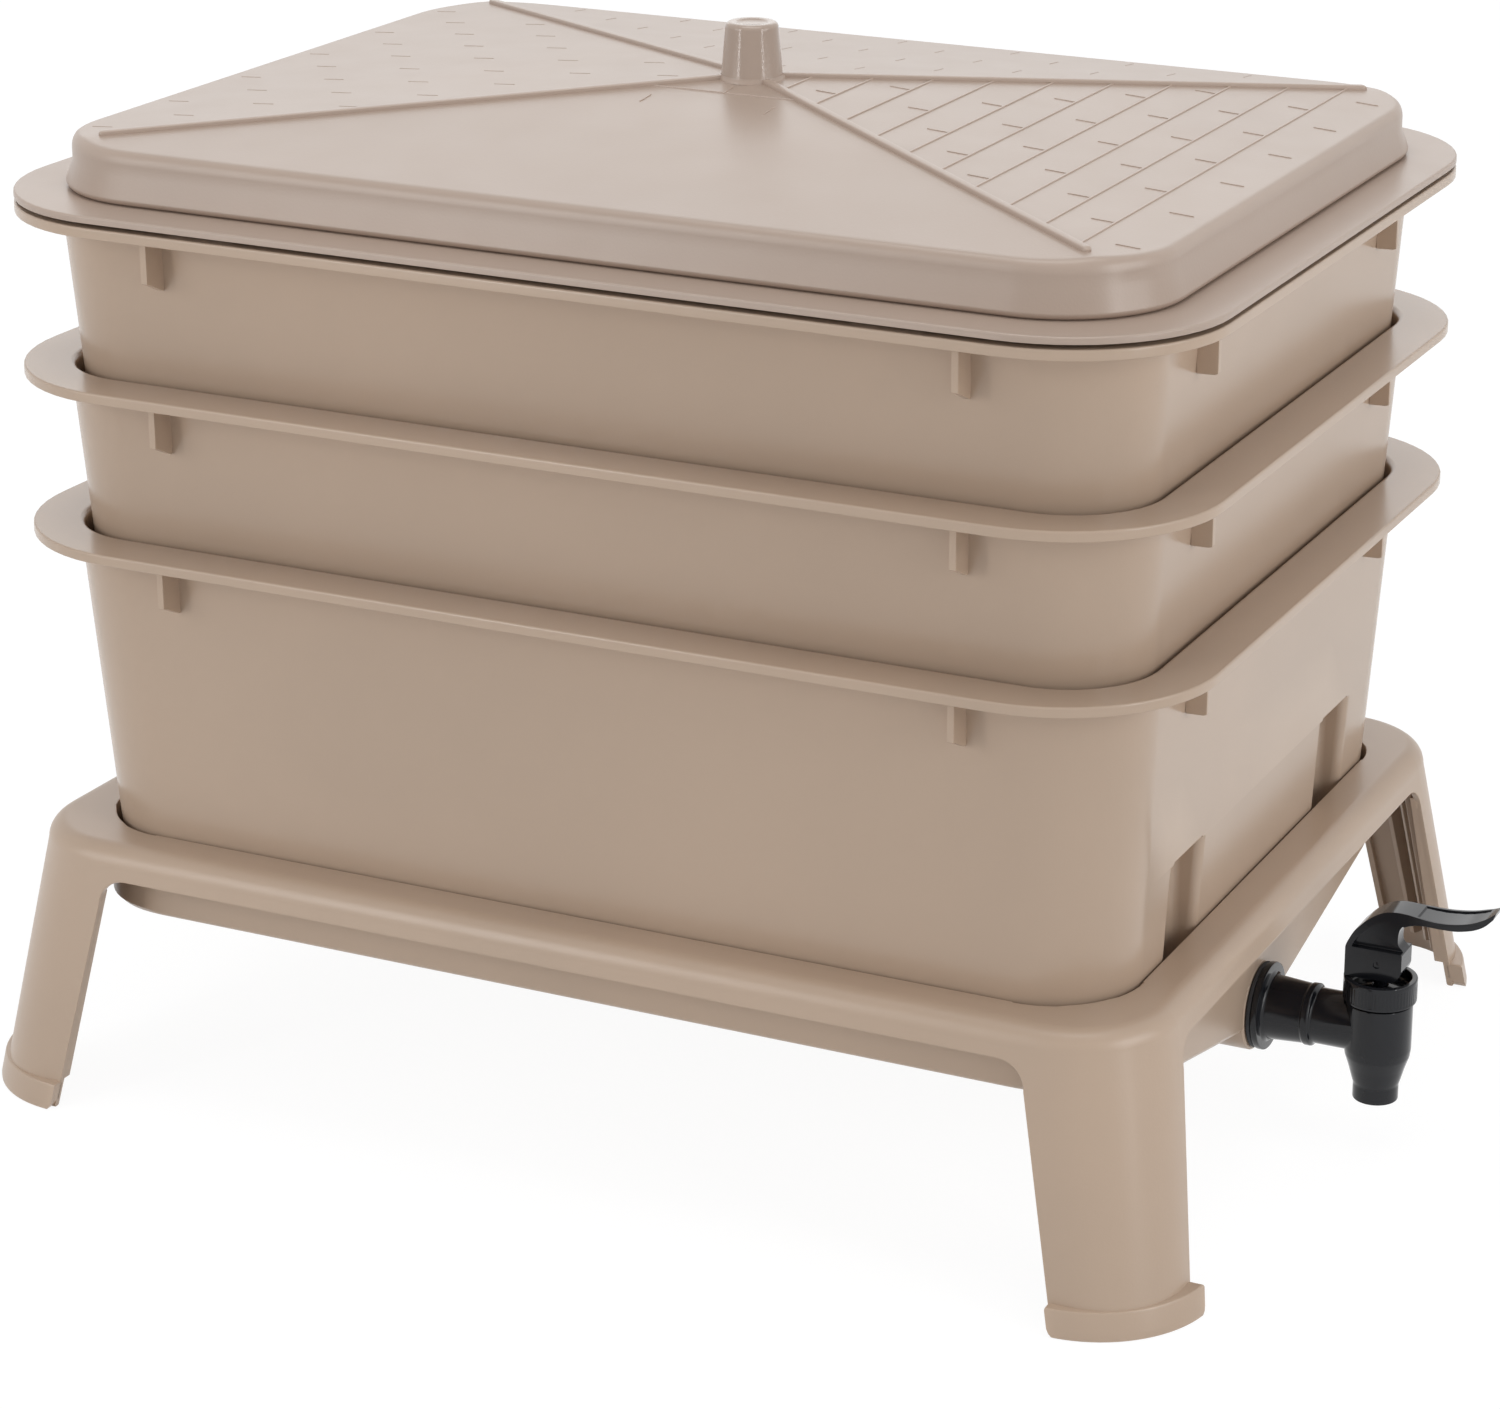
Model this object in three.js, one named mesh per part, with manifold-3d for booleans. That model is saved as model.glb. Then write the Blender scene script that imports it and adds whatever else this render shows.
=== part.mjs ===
// Stacking wormery: a legged stand with a moulded liquid sump, three working trays, a lid and a tap.
// Lengths are in millimetres, +Z is up, and the long side lies along X with the tap on the +X end.
import * as THREE from "three";
import { mergeVertices } from "three/addons/utils/BufferGeometryUtils.js";
import Module from "manifold-3d";

const wasm = await Module();
wasm.setup();

// Shared plan sizes of the rims
const rimLength = 530;
const rimWidth = 402;
const rimCornerRadius = 67;
const rimThickness = 4.4;
const rimEdgeRounding = 0.9;

// Trays
const trayDepth = 156;
const trayPitch = 69;
const trayNames = ["lower_tray", "middle_tray", "upper_tray"];
const wallInset = 21.2;
const wallThickness = 2.5;
const wallCornerRadius = 41;
const wallDraftShare = 0.057;
const rimInnerRounding = 3;
const floorEdgeRounding = 1.5;
const holeRadius = 4.5;
const holePitchLong = 48;
const holePitchShort = 44;
const holeMargin = 36;
const scoopFromCorner = 32.8;
const scoopWidth = 32;
const scoopDepth = 13;
const finThickness = 3;
const finReach = 11;
const finHeight = 24;
const finTipHeight = 19;
const finFromCornerLong = 24.8;
const finFromCornerShort = 30.8;

// Stand
const standHeight = 118.9;
const trayRestDrop = 26.7;
const apronDepth = 14.6;
const ringEndWidth = 22.2;
const ringSideWidth = 21.2;
const ringCornerRadius = 42;
const ringShoulder = 9;
const standThickness = 3;
const openingClearance = 0.9;
const openingCornerRelief = 8;
const sumpDepth = 37.2;
const sumpDraft = 1.2;
const sumpFallFar = 4;
const sumpFallTap = 38;
const legSplay = 16;
const legCornerRadius = 35;
const legFlatLongTop = 4.2;
const legFlatLongFoot = 8;
const legFlatShortTop = 1.5;
const legFlatShortFoot = 4.5;
const legFillet = 12;
const filletSteps = 3;
const sideSteps = 4;
const legRibHeightGap = 12;
const legRibDepth = 6;
const legRibThickness = 2.6;
const legReturnDepth = 10;
const lipHeight = 12;
const lipProudLong = 6;
const lipProudShort = 4;
const lipProudMiddle = 1.2;
const guideWidth = 2.6;
const guideGap = 0.3;
const guideFootReach = 9;
const guideFromCornerLong = 9.3;
const guideFromCornerShort = 6.3;
const guideSpacing = 28;
const bossWall = 2.5;
const spannerGap = 3.6;
const bossLength = 21;

// Lid
const lidSeatGap = 1.8;
const lidFlangeThickness = 3;
const lidThickness = 2.5;
const slabInset = 1.8;
const slabCornerRadius = 48;
const slabRise = 21.4;
const slabEdgeRounding = 5;
const lidRoofRise = 17;
const lidSkirtDepth = 9;
const lidSkirtClearance = 1.5;
const lidPadOffsetLong = 150;
const lidPadOffsetShort = 90;
const lidPadLength = 30;
const beadWidth = 4;
const beadHeight = 1.8;
const beadLengthShare = 0.9;
const knobBaseRadius = 12.9;
const knobTopRadius = 11.2;
const knobHeight = 23;
const knobWall = 2.6;
const knobDishRadius = 7;
const knobDishDepth = 1;

// Tap
const tapAxisBelowRing = 64.2;
const tapReach = 52.7;
const gasketThickness = 2;
const gasketRadius = 18.6;
const innerGasketInset = 2.5;
const flangeRadius = 19;
const flangeThickness = 2.8;
const threadRadius = 7.8;
const threadLength = 16;
const nutAcrossFlats = 24;
const nutLength = 7;
const shankRootRadius = 13.9;
const shankEndRadius = 12.9;
const shankLength = 17;
const beadRingRadius = 13.5;
const beadRingLength = 3.4;
const neckRadius = 12;
const shankBore = 6;
const barrelRadius = 14.2;
const barrelShoulder = 0.8;
const barrelTaperDrop = 11;
const spoutDropTop = 24.5;
const spoutDrop = 32.5;
const spoutRadius = 9.7;
const spoutBore = 7.4;
const seatBore = 5;
const seatDrop = 11.5;
const collarRadius = 12.6;
const collarWall = 1.6;
const collarHeight = 4.2;
const bonnetFit = 0.4;
const bonnetHeight = 10.4;
const bonnetPlate = 2.2;
const bonnetWall = 2.6;
const runGap = 0.3;
const stemRadius = 2.8;
const stemHeadWidth = 6.6;
const stemHeadRadius = 4.2;
const pinRadius = 1.5;
const pinFit = 0.03;
const pinAboveBonnet = 7.2;
const cupClearance = 2.4;
const cupHeight = 8;
const cupSocketDepth = 4.5;
const leverCheek = 3.2;
const headSideGap = 0.5;
const headSwingGap = 2.3;
const headTopGap = 1;
const leverReach = 50.8;
const leverHeight = 40.8;

// The lever's side outline: along, from the tap's axis, as shares of its reach, and up as shares of its height
const leverOutlineShares = [
  [-0.276, 0], [-0.276, 0.316], [-0.244, 0.424], [-0.159, 0.591], [-0.014, 0.77], [0.106, 0.833],
  [0.25, 0.826], [0.419, 0.792], [0.569, 0.787], [0.742, 0.836], [0.904, 0.922], [1, 1],
  [0.894, 0.814], [0.762, 0.74], [0.587, 0.708], [0.498, 0.708], [0.348, 0.701], [0.201, 0.642],
  [0.165, 0.578], [0.161, 0.38], [0.213, 0.336], [0.213, 0.135], [0.185, 0.056], [0.132, 0],
];

// How finely curves are divided
const cornerSteps = 6;
const roundSteps = 32;
const holeSteps = 6;
const holeTurnShare = 0.25;
const weldTolerance = 0.001;
const bite = 1;

// Sizes that follow from the ones above
const fitGap = 0.3;
const half = (length) => length / 2;
const wallLongAtRim = half(rimLength) - wallInset;
const wallShortAtRim = half(rimWidth) - wallInset;
const draftAt = (z) => wallDraftShare * Math.min(z, 0);
const ledgeInside = trayPitch - trayDepth - fitGap;
const ledgeOutside = ledgeInside - wallThickness;
const scoopFarEdge = wallShortAtRim - wallCornerRadius - scoopFromCorner;
const scoopNearEdge = scoopFarEdge - scoopWidth;
const scoopFace = wallLongAtRim + draftAt(ledgeOutside) - scoopDepth;
const finOffsetLong = wallLongAtRim - wallCornerRadius - finFromCornerLong;
const finOffsetShort = wallShortAtRim - wallCornerRadius - finFromCornerShort;
const ringTop = standHeight;
const rimAboveRing = trayDepth - trayRestDrop;
const floorToTrayRim = ringTop + rimAboveRing;
const apronFoot = ringTop - apronDepth;
const openingLong = wallLongAtRim + draftAt(-rimAboveRing) + openingClearance;
const openingShort = wallShortAtRim + draftAt(-rimAboveRing) + openingClearance;
const openingCornerRadius = wallCornerRadius - openingCornerRelief;
const ringLong = openingLong + ringEndWidth;
const ringShort = openingShort + ringSideWidth;
const sumpLong = openingLong + standThickness - half(sumpDraft);
const sumpShort = openingShort + standThickness - half(sumpDraft);
const sumpFloor = ringTop - sumpDepth;
const guideOffsetShort = openingShort - openingCornerRadius - guideFromCornerShort;
const guideOuterOffset = openingLong - openingCornerRadius - guideFromCornerLong;
const guideInnerOffset = guideOuterOffset - guideSpacing;
const lidBase = floorToTrayRim + (trayNames.length - 1) * trayPitch + rimThickness + lidSeatGap;
const slabLong = wallLongAtRim - slabInset;
const slabShort = wallShortAtRim - slabInset;
const nutCorner = nutAcrossFlats / Math.sqrt(3);
const bossBore = nutCorner + spannerGap;
const bossRadius = bossBore + bossWall;
const tapHeight = ringTop - tapAxisBelowRing;
const bossFace = sumpLong + fitGap;
const flangeBack = bossFace + fitGap + gasketThickness + fitGap;
const barrelX = flangeBack + tapReach - gasketThickness;
const barrelTop = tapHeight + neckRadius + barrelShoulder;
const chamberRadius = collarRadius - collarWall;
const cupRadius = chamberRadius - cupClearance;
const bonnetInner = collarRadius + bonnetFit;
const bonnetRadius = bonnetInner + bonnetWall;
const bonnetBase = barrelTop + fitGap;
const bonnetTop = bonnetBase + bonnetHeight;
const pinHeight = bonnetTop + pinAboveBonnet;
const seatHeight = tapHeight - seatDrop;
const leverSlotWidth = stemHeadWidth + 2 * headSideGap;
const leverSlotLength = 2 * (stemHeadRadius + headSwingGap);
const leverWidth = leverSlotWidth + 2 * leverCheek;

const root = new THREE.Group();
root.name = "stacking_wormery";

const plastic = { color: 0xb5a48f, roughness: 0.45, metalness: 0 };
const matte = { color: 0xb3a390, roughness: 0.65, metalness: 0 };
const black = { color: 0x1d1e21, roughness: 0.22, metalness: 0 };
const rubber = { color: 0x2a2a2c, roughness: 0.8, metalness: 0 };
const clear = { color: 0xd8d8d2, roughness: 0.5, metalness: 0 };

// Joins coincident corners, drops collapsed triangles and turns the skin outwards.
function closedGeometry(points, triangles) {
  const raw = new THREE.BufferGeometry();
  raw.setAttribute("position", new THREE.BufferAttribute(new Float32Array(points.flat()), 3));
  raw.setIndex(triangles.flat());
  const welded = mergeVertices(raw, weldTolerance);
  const at = welded.getAttribute("position");
  const index = welded.getIndex().array;
  const kept = [];
  let volume = 0;
  const [a, b, c] = [new THREE.Vector3(), new THREE.Vector3(), new THREE.Vector3()];
  for (let i = 0; i < index.length; i += 3) {
    const [p, q, r] = [index[i], index[i + 1], index[i + 2]];
    if (p === q || q === r || r === p) continue;
    kept.push([p, q, r]);
    a.fromBufferAttribute(at, p);
    b.fromBufferAttribute(at, q);
    c.fromBufferAttribute(at, r);
    volume += a.dot(b.cross(c));
  }
  welded.setIndex(kept.flatMap(([p, q, r]) => (volume < 0 ? [p, r, q] : [p, q, r])));
  return welded;
}

function toSolid(geometry) {
  const bare = geometry.clone();
  bare.deleteAttribute("normal");
  bare.deleteAttribute("uv");
  const welded = mergeVertices(bare, weldTolerance);
  const vertProperties = new Float32Array(welded.getAttribute("position").array);
  const triVerts = new Uint32Array(welded.getIndex().array);
  return new wasm.Manifold(new wasm.Mesh({ numProp: 3, vertProperties, triVerts }));
}

function fromSolid(solid) {
  const mesh = solid.getMesh();
  const stride = mesh.numProp;
  const position = new Float32Array((mesh.vertProperties.length / stride) * 3);
  for (let i = 0; i < position.length; i += 1) {
    position[i] = mesh.vertProperties[Math.floor(i / 3) * stride + (i % 3)];
  }
  const geometry = new THREE.BufferGeometry();
  geometry.setAttribute("position", new THREE.BufferAttribute(position, 3));
  geometry.setIndex(Array.from(mesh.triVerts));
  return geometry;
}

function flatTriangles(contour, holes) {
  const outline = contour.map(([x, y]) => new THREE.Vector2(x, y));
  const inner = holes.map((hole) => hole.map(([x, y]) => new THREE.Vector2(x, y)));
  const all = [outline, ...inner].flat();
  const turn = (p, q, r) => (q.x - p.x) * (r.y - p.y) - (r.x - p.x) * (q.y - p.y);
  const found = THREE.ShapeUtils.triangulateShape(outline, inner);
  return found.map(([p, q, r]) => (turn(all[p], all[q], all[r]) > 0 ? [p, q, r] : [p, r, q]));
}

// A skin through a row of closed loops. Capped, it also closes the two ends and joins the holes in them.
function skin(loops, holes = [], capped = true) {
  const points = loops.flat();
  const size = loops[0].length;
  const triangles = [];
  for (let row = 0; row + 1 < loops.length; row += 1) {
    for (let i = 0; i < size; i += 1) {
      const [p, q] = [row * size + i, row * size + ((i + 1) % size)];
      triangles.push([p, q, q + size], [p, q + size, p + size]);
    }
  }
  if (!capped) return closedGeometry(points, triangles);
  const holeStart = points.length;
  const holeCount = holes.length * holeSteps;
  const ends = [loops[0], loops[loops.length - 1]];
  for (const end of ends) for (const hole of holes) for (const [x, y] of hole) points.push([x, y, end[0][2]]);
  ends.forEach((loop, end) => {
    const loopStart = end * (loops.length - 1) * size;
    const pick = (i) => (i < size ? loopStart + i : holeStart + end * holeCount + i - size);
    for (const [p, q, r] of flatTriangles(loop, holes)) {
      triangles.push(end ? [pick(p), pick(q), pick(r)] : [pick(p), pick(r), pick(q)]);
    }
  });
  for (let hole = 0; hole < holes.length; hole += 1) {
    for (let i = 0; i < holeSteps; i += 1) {
      const p = holeStart + hole * holeSteps + i;
      const q = holeStart + hole * holeSteps + ((i + 1) % holeSteps);
      triangles.push([p, p + holeCount, q + holeCount], [p, q + holeCount, q]);
    }
  }
  return closedGeometry(points, triangles);
}

const quarters = [[1, 1], [-1, 1], [-1, -1], [1, -1]];

// The four rounded corners of a rectangle as lists of [x, y], anticlockwise.
const cornerArcs = (halfLong, halfShort, radius) => quarters.map(([sx, sy], quarter) => (
  Array.from({ length: cornerSteps + 1 }, (_, i) => {
    const angle = (Math.PI / 2) * (quarter + i / cornerSteps);
    return [
      sx * (halfLong - radius) + radius * Math.cos(angle),
      sy * (halfShort - radius) + radius * Math.sin(angle),
    ];
  })
));

function roundedLoop(halfLong, halfShort, radius) {
  const [first, second, third, fourth] = cornerArcs(halfLong, halfShort, radius);
  return [[halfLong, 0], ...first, ...second, [-halfLong, 0], ...third, ...fourth];
}

const lift = (loop, z) => loop.map(([x, y]) => [x, y, z]);

// A turned solid about Z, from a profile of [radius, z] that starts and ends on the axis.
function turnedSolid(profile) {
  const points = profile.map(([r, z]) => new THREE.Vector2(r, z));
  const lathe = new THREE.LatheGeometry(points, roundSteps);
  lathe.rotateX(Math.PI / 2);
  const at = lathe.getAttribute("position");
  const index = lathe.getIndex().array;
  const corners = Array.from({ length: at.count }, (_, i) => [at.getX(i), at.getY(i), at.getZ(i)]);
  const sides = Array.from({ length: index.length / 3 }, (_, i) => [...index.slice(i * 3, i * 3 + 3)]);
  return toSolid(closedGeometry(corners, sides));
}

const rod = (radius, low, high) => turnedSolid([[0, low], [radius, low], [radius, high], [0, high]]);

// A turned solid laid along +X on the tap's axis.
const shaft = (profile) => turnedSolid(profile).rotate([0, 90, 0]).translate([0, 0, tapHeight]);

const shaftRod = (radius, from, to) => shaft([[0, from], [radius, from], [radius, to], [0, to]]);

// A bar with an outline in XZ and a width along Y.
function sideBar(outline, width) {
  const clockwise = THREE.ShapeUtils.isClockWise(outline.map(([x, z]) => new THREE.Vector2(x, z)));
  const turned = clockwise ? [...outline].reverse() : outline;
  const size = turned.length;
  const points = [-1, 1].flatMap((side) => turned.map(([x, z]) => [x, side * half(width), z]));
  const triangles = [];
  for (let i = 0; i < size; i += 1) {
    const next = (i + 1) % size;
    triangles.push([i, next + size, next], [i, i + size, next + size]);
  }
  for (const [p, q, r] of flatTriangles(turned, [])) triangles.push([p, q, r], [p + size, r + size, q + size]);
  return toSolid(closedGeometry(points, triangles));
}

const joined = (first, ...others) => others.reduce((sum, other) => sum.add(other), first);

function addPiece(name, solid, finish) {
  const geometry = fromSolid(solid);
  geometry.computeVertexNormals();
  const mesh = new THREE.Mesh(geometry, new THREE.MeshStandardMaterial(finish));
  mesh.name = name;
  root.add(mesh);
}

// A tray wall at one height. Scooped, it has two upright recesses pressed into each short end.
function trayLoop(z, offset, scooped) {
  const halfLong = wallLongAtRim + draftAt(z) - offset;
  const halfShort = wallShortAtRim + draftAt(z) - offset;
  const face = scooped ? scoopFace - offset : halfLong;
  const upper = [
    [halfLong, scoopNearEdge - offset], [face, scoopNearEdge - offset],
    [face, scoopFarEdge + offset], [halfLong, scoopFarEdge + offset],
  ];
  const end = [...upper.map(([x, y]) => [x, -y]).reverse(), ...upper];
  const farEnd = end.map(([x, y]) => [-x, -y]);
  const [first, second, third, fourth] = cornerArcs(halfLong, halfShort, wallCornerRadius - offset);
  return lift([...end, ...first, ...second, ...farEnd, ...third, ...fourth], z);
}

// A rim loop with the same count of points as a tray wall.
function rimLoop(z, inset) {
  const [halfLong, halfShort] = [half(rimLength) - inset, half(rimWidth) - inset];
  const [first, second, third, fourth] = cornerArcs(halfLong, halfShort, rimCornerRadius - inset);
  const edges = [scoopNearEdge, scoopNearEdge, scoopFarEdge, scoopFarEdge];
  const end = [...edges.map((y) => [halfLong, -y]).reverse(), ...edges.map((y) => [halfLong, y])];
  const farEnd = end.map(([x, y]) => [-x, -y]);
  return lift([...end, ...first, ...second, ...farEnd, ...third, ...fourth], z);
}

// Drain holes, each turned a little so that no corners of two holes lie in one line.
function trayHoles() {
  const spread = (span, pitch) => {
    const gaps = Math.floor(span / pitch);
    return Array.from({ length: gaps + 1 }, (_, i) => (i - half(gaps)) * pitch);
  };
  const long = 2 * (wallLongAtRim + draftAt(-trayDepth) - holeMargin);
  const short = 2 * (wallShortAtRim + draftAt(-trayDepth) - holeMargin);
  return spread(long, holePitchLong).flatMap((x) => spread(short, holePitchShort).map((y) => (
    Array.from({ length: holeSteps }, (_, k) => {
      const angle = (2 * Math.PI * (k + holeTurnShare)) / holeSteps;
      return [x + holeRadius * Math.cos(angle), y + holeRadius * Math.sin(angle)];
    })
  )));
}

// Upright brackets under the rim, two to a side, deeper at the wall than at the tip.
function trayFins() {
  const fin = (wall) => sideBar([
    [wall - half(wallThickness), half(rimThickness)], [wall - half(wallThickness), -finHeight],
    [wall, -finHeight], [wall + finReach, -finTipHeight], [wall + finReach, half(rimThickness)],
  ], finThickness);
  return [-1, 1].flatMap((side) => [-1, 1].flatMap((turn) => [
    fin(wallLongAtRim).rotate([0, 0, turn > 0 ? 0 : 180]).translate([0, side * finOffsetShort, 0]),
    fin(wallShortAtRim).rotate([0, 0, turn * 90]).translate([side * finOffsetLong, 0, 0]),
  ]));
}

function traySolid() {
  const floorTop = wallThickness - trayDepth;
  const loops = [
    trayLoop(floorTop, wallThickness + floorEdgeRounding, true),
    trayLoop(floorTop + floorEdgeRounding, wallThickness, true),
    trayLoop(ledgeInside, wallThickness, true),
    trayLoop(ledgeInside, wallThickness, false),
    trayLoop(rimThickness - rimInnerRounding, wallThickness, false),
    rimLoop(rimThickness - rimEdgeRounding, wallInset + half(wallThickness)),
    rimLoop(rimThickness, wallInset - half(rimInnerRounding)),
    rimLoop(rimThickness, rimEdgeRounding),
    rimLoop(rimThickness - rimEdgeRounding, 0),
    rimLoop(0, 0),
    trayLoop(0, 0, false),
    trayLoop(ledgeOutside, 0, false),
    trayLoop(ledgeOutside, 0, true),
    trayLoop(floorEdgeRounding - trayDepth, 0, true),
    trayLoop(-trayDepth, floorEdgeRounding, true),
  ];
  return joined(toSolid(skin(loops, trayHoles())), ...trayFins());
}

// How far the sump's floor lies below its edge, deepening along X and towards the middle.
function sumpFall(x, y, halfLong, halfShort) {
  const along = (x + halfLong) / (2 * halfLong);
  return (sumpFallFar + (sumpFallTap - sumpFallFar) * along) * (1 - Math.abs(y) / halfShort);
}

const shoulderHeight = ringTop - ringShoulder;
const legSpread = (z) => (legSplay * (shoulderHeight - z)) / shoulderHeight;
const legRadius = (z) => ringCornerRadius + ((legCornerRadius - ringCornerRadius) * (shoulderHeight - z)) / shoulderHeight;

// Where the hem of the stand turns down into a leg: points along a side, from its middle to the corner.
function hemStations(halfSide, flatTop, flatFoot) {
  const edgeTop = halfSide - ringCornerRadius - flatTop;
  const edgeFoot = halfSide + legSplay - legCornerRadius - flatFoot;
  const filletStart = edgeTop - legFillet;
  const side = Array.from({ length: sideSteps }, (_, i) => [(filletStart * i) / sideSteps, apronFoot]);
  const fillet = Array.from({ length: filletSteps + 1 }, (_, i) => {
    const angle = (Math.PI / 2) * (i / filletSteps);
    return [filletStart + legFillet * Math.sin(angle), apronFoot - legFillet + legFillet * Math.cos(angle)];
  });
  return [...side, ...fillet, [edgeFoot, 0]];
}

const longStations = hemStations(ringLong, legFlatLongTop, legFlatLongFoot);
const shortStations = hemStations(ringShort, legFlatShortTop, legFlatShortFoot);

// One loop of the stand with a station for every point of the hem. The height may change along it.
function standLoop(halfLong, halfShort, radius, height) {
  const spacing = (stations, straight, outer) => {
    const even = stations.slice(0, -1).map(([s]) => (s * straight) / outer);
    return [...even, half(even[even.length - 1] + straight)];
  };
  const xs = spacing(longStations, halfLong - radius, ringLong - ringCornerRadius);
  const ys = spacing(shortStations, halfShort - radius, ringShort - ringCornerRadius);
  const arcs = cornerArcs(halfLong, halfShort, radius);
  const loop = arcs.flatMap((arc, quarter) => {
    const [sx, sy] = quarters[quarter];
    const sides = ys.map((y) => [sx * halfLong, sy * y]);
    const ends = xs.map((x) => [sx * x, sy * halfShort]);
    const [before, after] = quarter % 2 ? [ends, sides] : [sides, ends];
    return [...before, ...arc, ...after.reverse()];
  });
  return loop.map(([x, y]) => [x, y, height(x, y)]);
}

// The hem: level between the legs and running down to the floor round each corner.
function hemLoop(offset) {
  const point = (stations, i, alongLong) => {
    const [s, z] = stations[i];
    const out = legSpread(z) - offset;
    return alongLong ? [s, ringShort + out, z] : [ringLong + out, s, z];
  };
  const out = legSpread(0) - offset;
  const arcs = cornerArcs(ringLong + out, ringShort + out, legCornerRadius - offset);
  return arcs.flatMap((arc, quarter) => {
    const [sx, sy] = quarters[quarter];
    const mirror = ([x, y, z]) => [sx * x, sy * y, z];
    const sides = shortStations.map((_, i) => mirror(point(shortStations, i, false)));
    const ends = longStations.map((_, i) => mirror(point(longStations, i, true)));
    const [before, after] = quarter % 2 ? [ends, sides] : [sides, ends];
    return [...before, ...lift(arc, 0), ...after.reverse()];
  });
}

// A loop of the sump's floor, and the same loop folded onto the valley that runs to the tap.
function floorLoops(halfLong, halfShort, radius, rise) {
  const level = (x, y) => sumpFloor + rise - sumpFall(x, y, halfLong, halfShort);
  const edge = standLoop(halfLong, halfShort, radius, level);
  return [edge, edge.map(([x]) => [x, 0, level(x, 0)])];
}

const [insideEdge, insideValley] = floorLoops(
  openingLong - sumpDraft, openingShort - sumpDraft, openingCornerRadius, standThickness,
);
const openingLoop = (out, z) => (
  standLoop(openingLong + out, openingShort + out, openingCornerRadius + out, () => z)
);
const ringLoop = (inset, z) => standLoop(
  ringLong - inset, ringShort - inset, ringCornerRadius - inset, () => z,
);

function standShell() {
  const [outsideEdge, outsideValley] = floorLoops(
    sumpLong - standThickness, sumpShort - standThickness, openingCornerRadius, 0,
  );
  const outsideWall = outsideEdge.map(([x, y, z]) => {
    const grow = (v, inner, outer) => (v * outer) / inner;
    return [grow(x, sumpLong - standThickness, sumpLong), grow(y, sumpShort - standThickness, sumpShort), z + standThickness];
  });
  const shoulder = [0, 1, 2, 3].map((i) => {
    const angle = (Math.PI / 2) * (i / 3);
    return ringLoop(ringShoulder * (1 - Math.sin(angle)), ringTop - ringShoulder * (1 - Math.cos(angle)));
  });
  return toSolid(skin([
    insideValley, insideEdge, openingLoop(0, ringTop - rimEdgeRounding), openingLoop(rimEdgeRounding, ringTop),
    ...shoulder, hemLoop(0), hemLoop(standThickness),
    ringLoop(standThickness, shoulderHeight), ringLoop(ringShoulder, ringTop - standThickness),
    openingLoop(standThickness, ringTop - standThickness), outsideWall, outsideEdge, outsideValley,
  ], [], false));
}

// A leg's own cross-section helpers: the arc of its corner at one height.
function legArc(z, offset) {
  const out = legSpread(z) - offset;
  return cornerArcs(ringLong + out, ringShort + out, legRadius(z) - offset)[0];
}

// Where a leg's free edge runs at one height, below its fillet.
function edgeAt(stations, z) {
  const [[top], [foot]] = stations.slice(-2);
  return foot + ((top - foot) * z) / (apronFoot - legFillet);
}

function legExtras() {
  const ribTop = ringTop - half(standThickness);
  const returnTop = apronFoot - half(legFillet);
  const rib = (turn) => skin([legRibHeightGap, ribTop].map((z) => {
    const middle = [ringLong + legSpread(z) - legRadius(z), ringShort + legSpread(z) - legRadius(z)];
    const outer = legRadius(z) - half(standThickness);
    const [c, s] = [Math.cos(turn), Math.sin(turn)];
    const spot = (r, side) => [middle[0] + r * c - side * s, middle[1] + r * s + side * c, z];
    const [inner, w] = [outer - half(standThickness) - legRibDepth, half(legRibThickness)];
    return [spot(inner, -w), spot(outer, -w), spot(outer, w), spot(inner, w)];
  }));
  const longReturn = skin([legRibHeightGap, returnTop].map((z) => {
    const x = edgeAt(longStations, z);
    const y = ringShort + legSpread(z) - half(standThickness);
    const inner = y - half(standThickness) - legReturnDepth;
    return [[x, inner, z], [x + standThickness, inner, z], [x + standThickness, y, z], [x, y, z]];
  }));
  const shortReturn = skin([legRibHeightGap, returnTop].map((z) => {
    const y = edgeAt(shortStations, z);
    const x = ringLong + legSpread(z) - half(standThickness);
    const inner = x - half(standThickness) - legReturnDepth;
    return [[inner, y, z], [x, y, z], [x, y + standThickness, z], [inner, y + standThickness, z]];
  }));
  const lip = skin([0, lipHeight].map((z) => {
    const spread = legSpread(z);
    const mid = legArc(z, -lipProudMiddle)[cornerSteps / 2];
    const from = [ringLong + spread + lipProudLong, edgeAt(shortStations, z)];
    const to = [edgeAt(longStations, z), ringShort + spread + lipProudShort];
    const outer = bentLine(from, mid, to);
    const inner = legArc(z, half(standThickness)).reverse();
    const backTo = [to[0], ringShort + spread - half(standThickness)];
    const backFrom = [ringLong + spread - half(standThickness), from[1]];
    return lift([...outer, backTo, ...inner, backFrom], z);
  }));
  const pieces = [...[1, 2, 3].map((i) => rib((Math.PI / 2) * (i / 4))), longReturn, shortReturn, lip].map(toSolid);
  return quarters.flatMap(([sx, sy]) => pieces.map((piece) => piece.scale([sx, sy, 1])));
}

// Points on the circle through three given points.
function bentLine(from, mid, to) {
  const [ax, ay, bx, by] = [mid[0] - from[0], mid[1] - from[1], to[0] - from[0], to[1] - from[1]];
  const d = 2 * (ax * by - ay * bx);
  const ux = (by * (ax * ax + ay * ay) - ay * (bx * bx + by * by)) / d;
  const uy = (ax * (bx * bx + by * by) - bx * (ax * ax + ay * ay)) / d;
  const [cx, cy, radius] = [from[0] + ux, from[1] + uy, Math.hypot(ux, uy)];
  const start = Math.atan2(from[1] - cy, from[0] - cx);
  const end = Math.atan2(to[1] - cy, to[0] - cx);
  return Array.from({ length: cornerSteps + 3 }, (_, i) => {
    const angle = start + ((end - start) * i) / (cornerSteps + 2);
    return [cx + radius * Math.cos(angle), cy + radius * Math.sin(angle)];
  });
}

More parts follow.
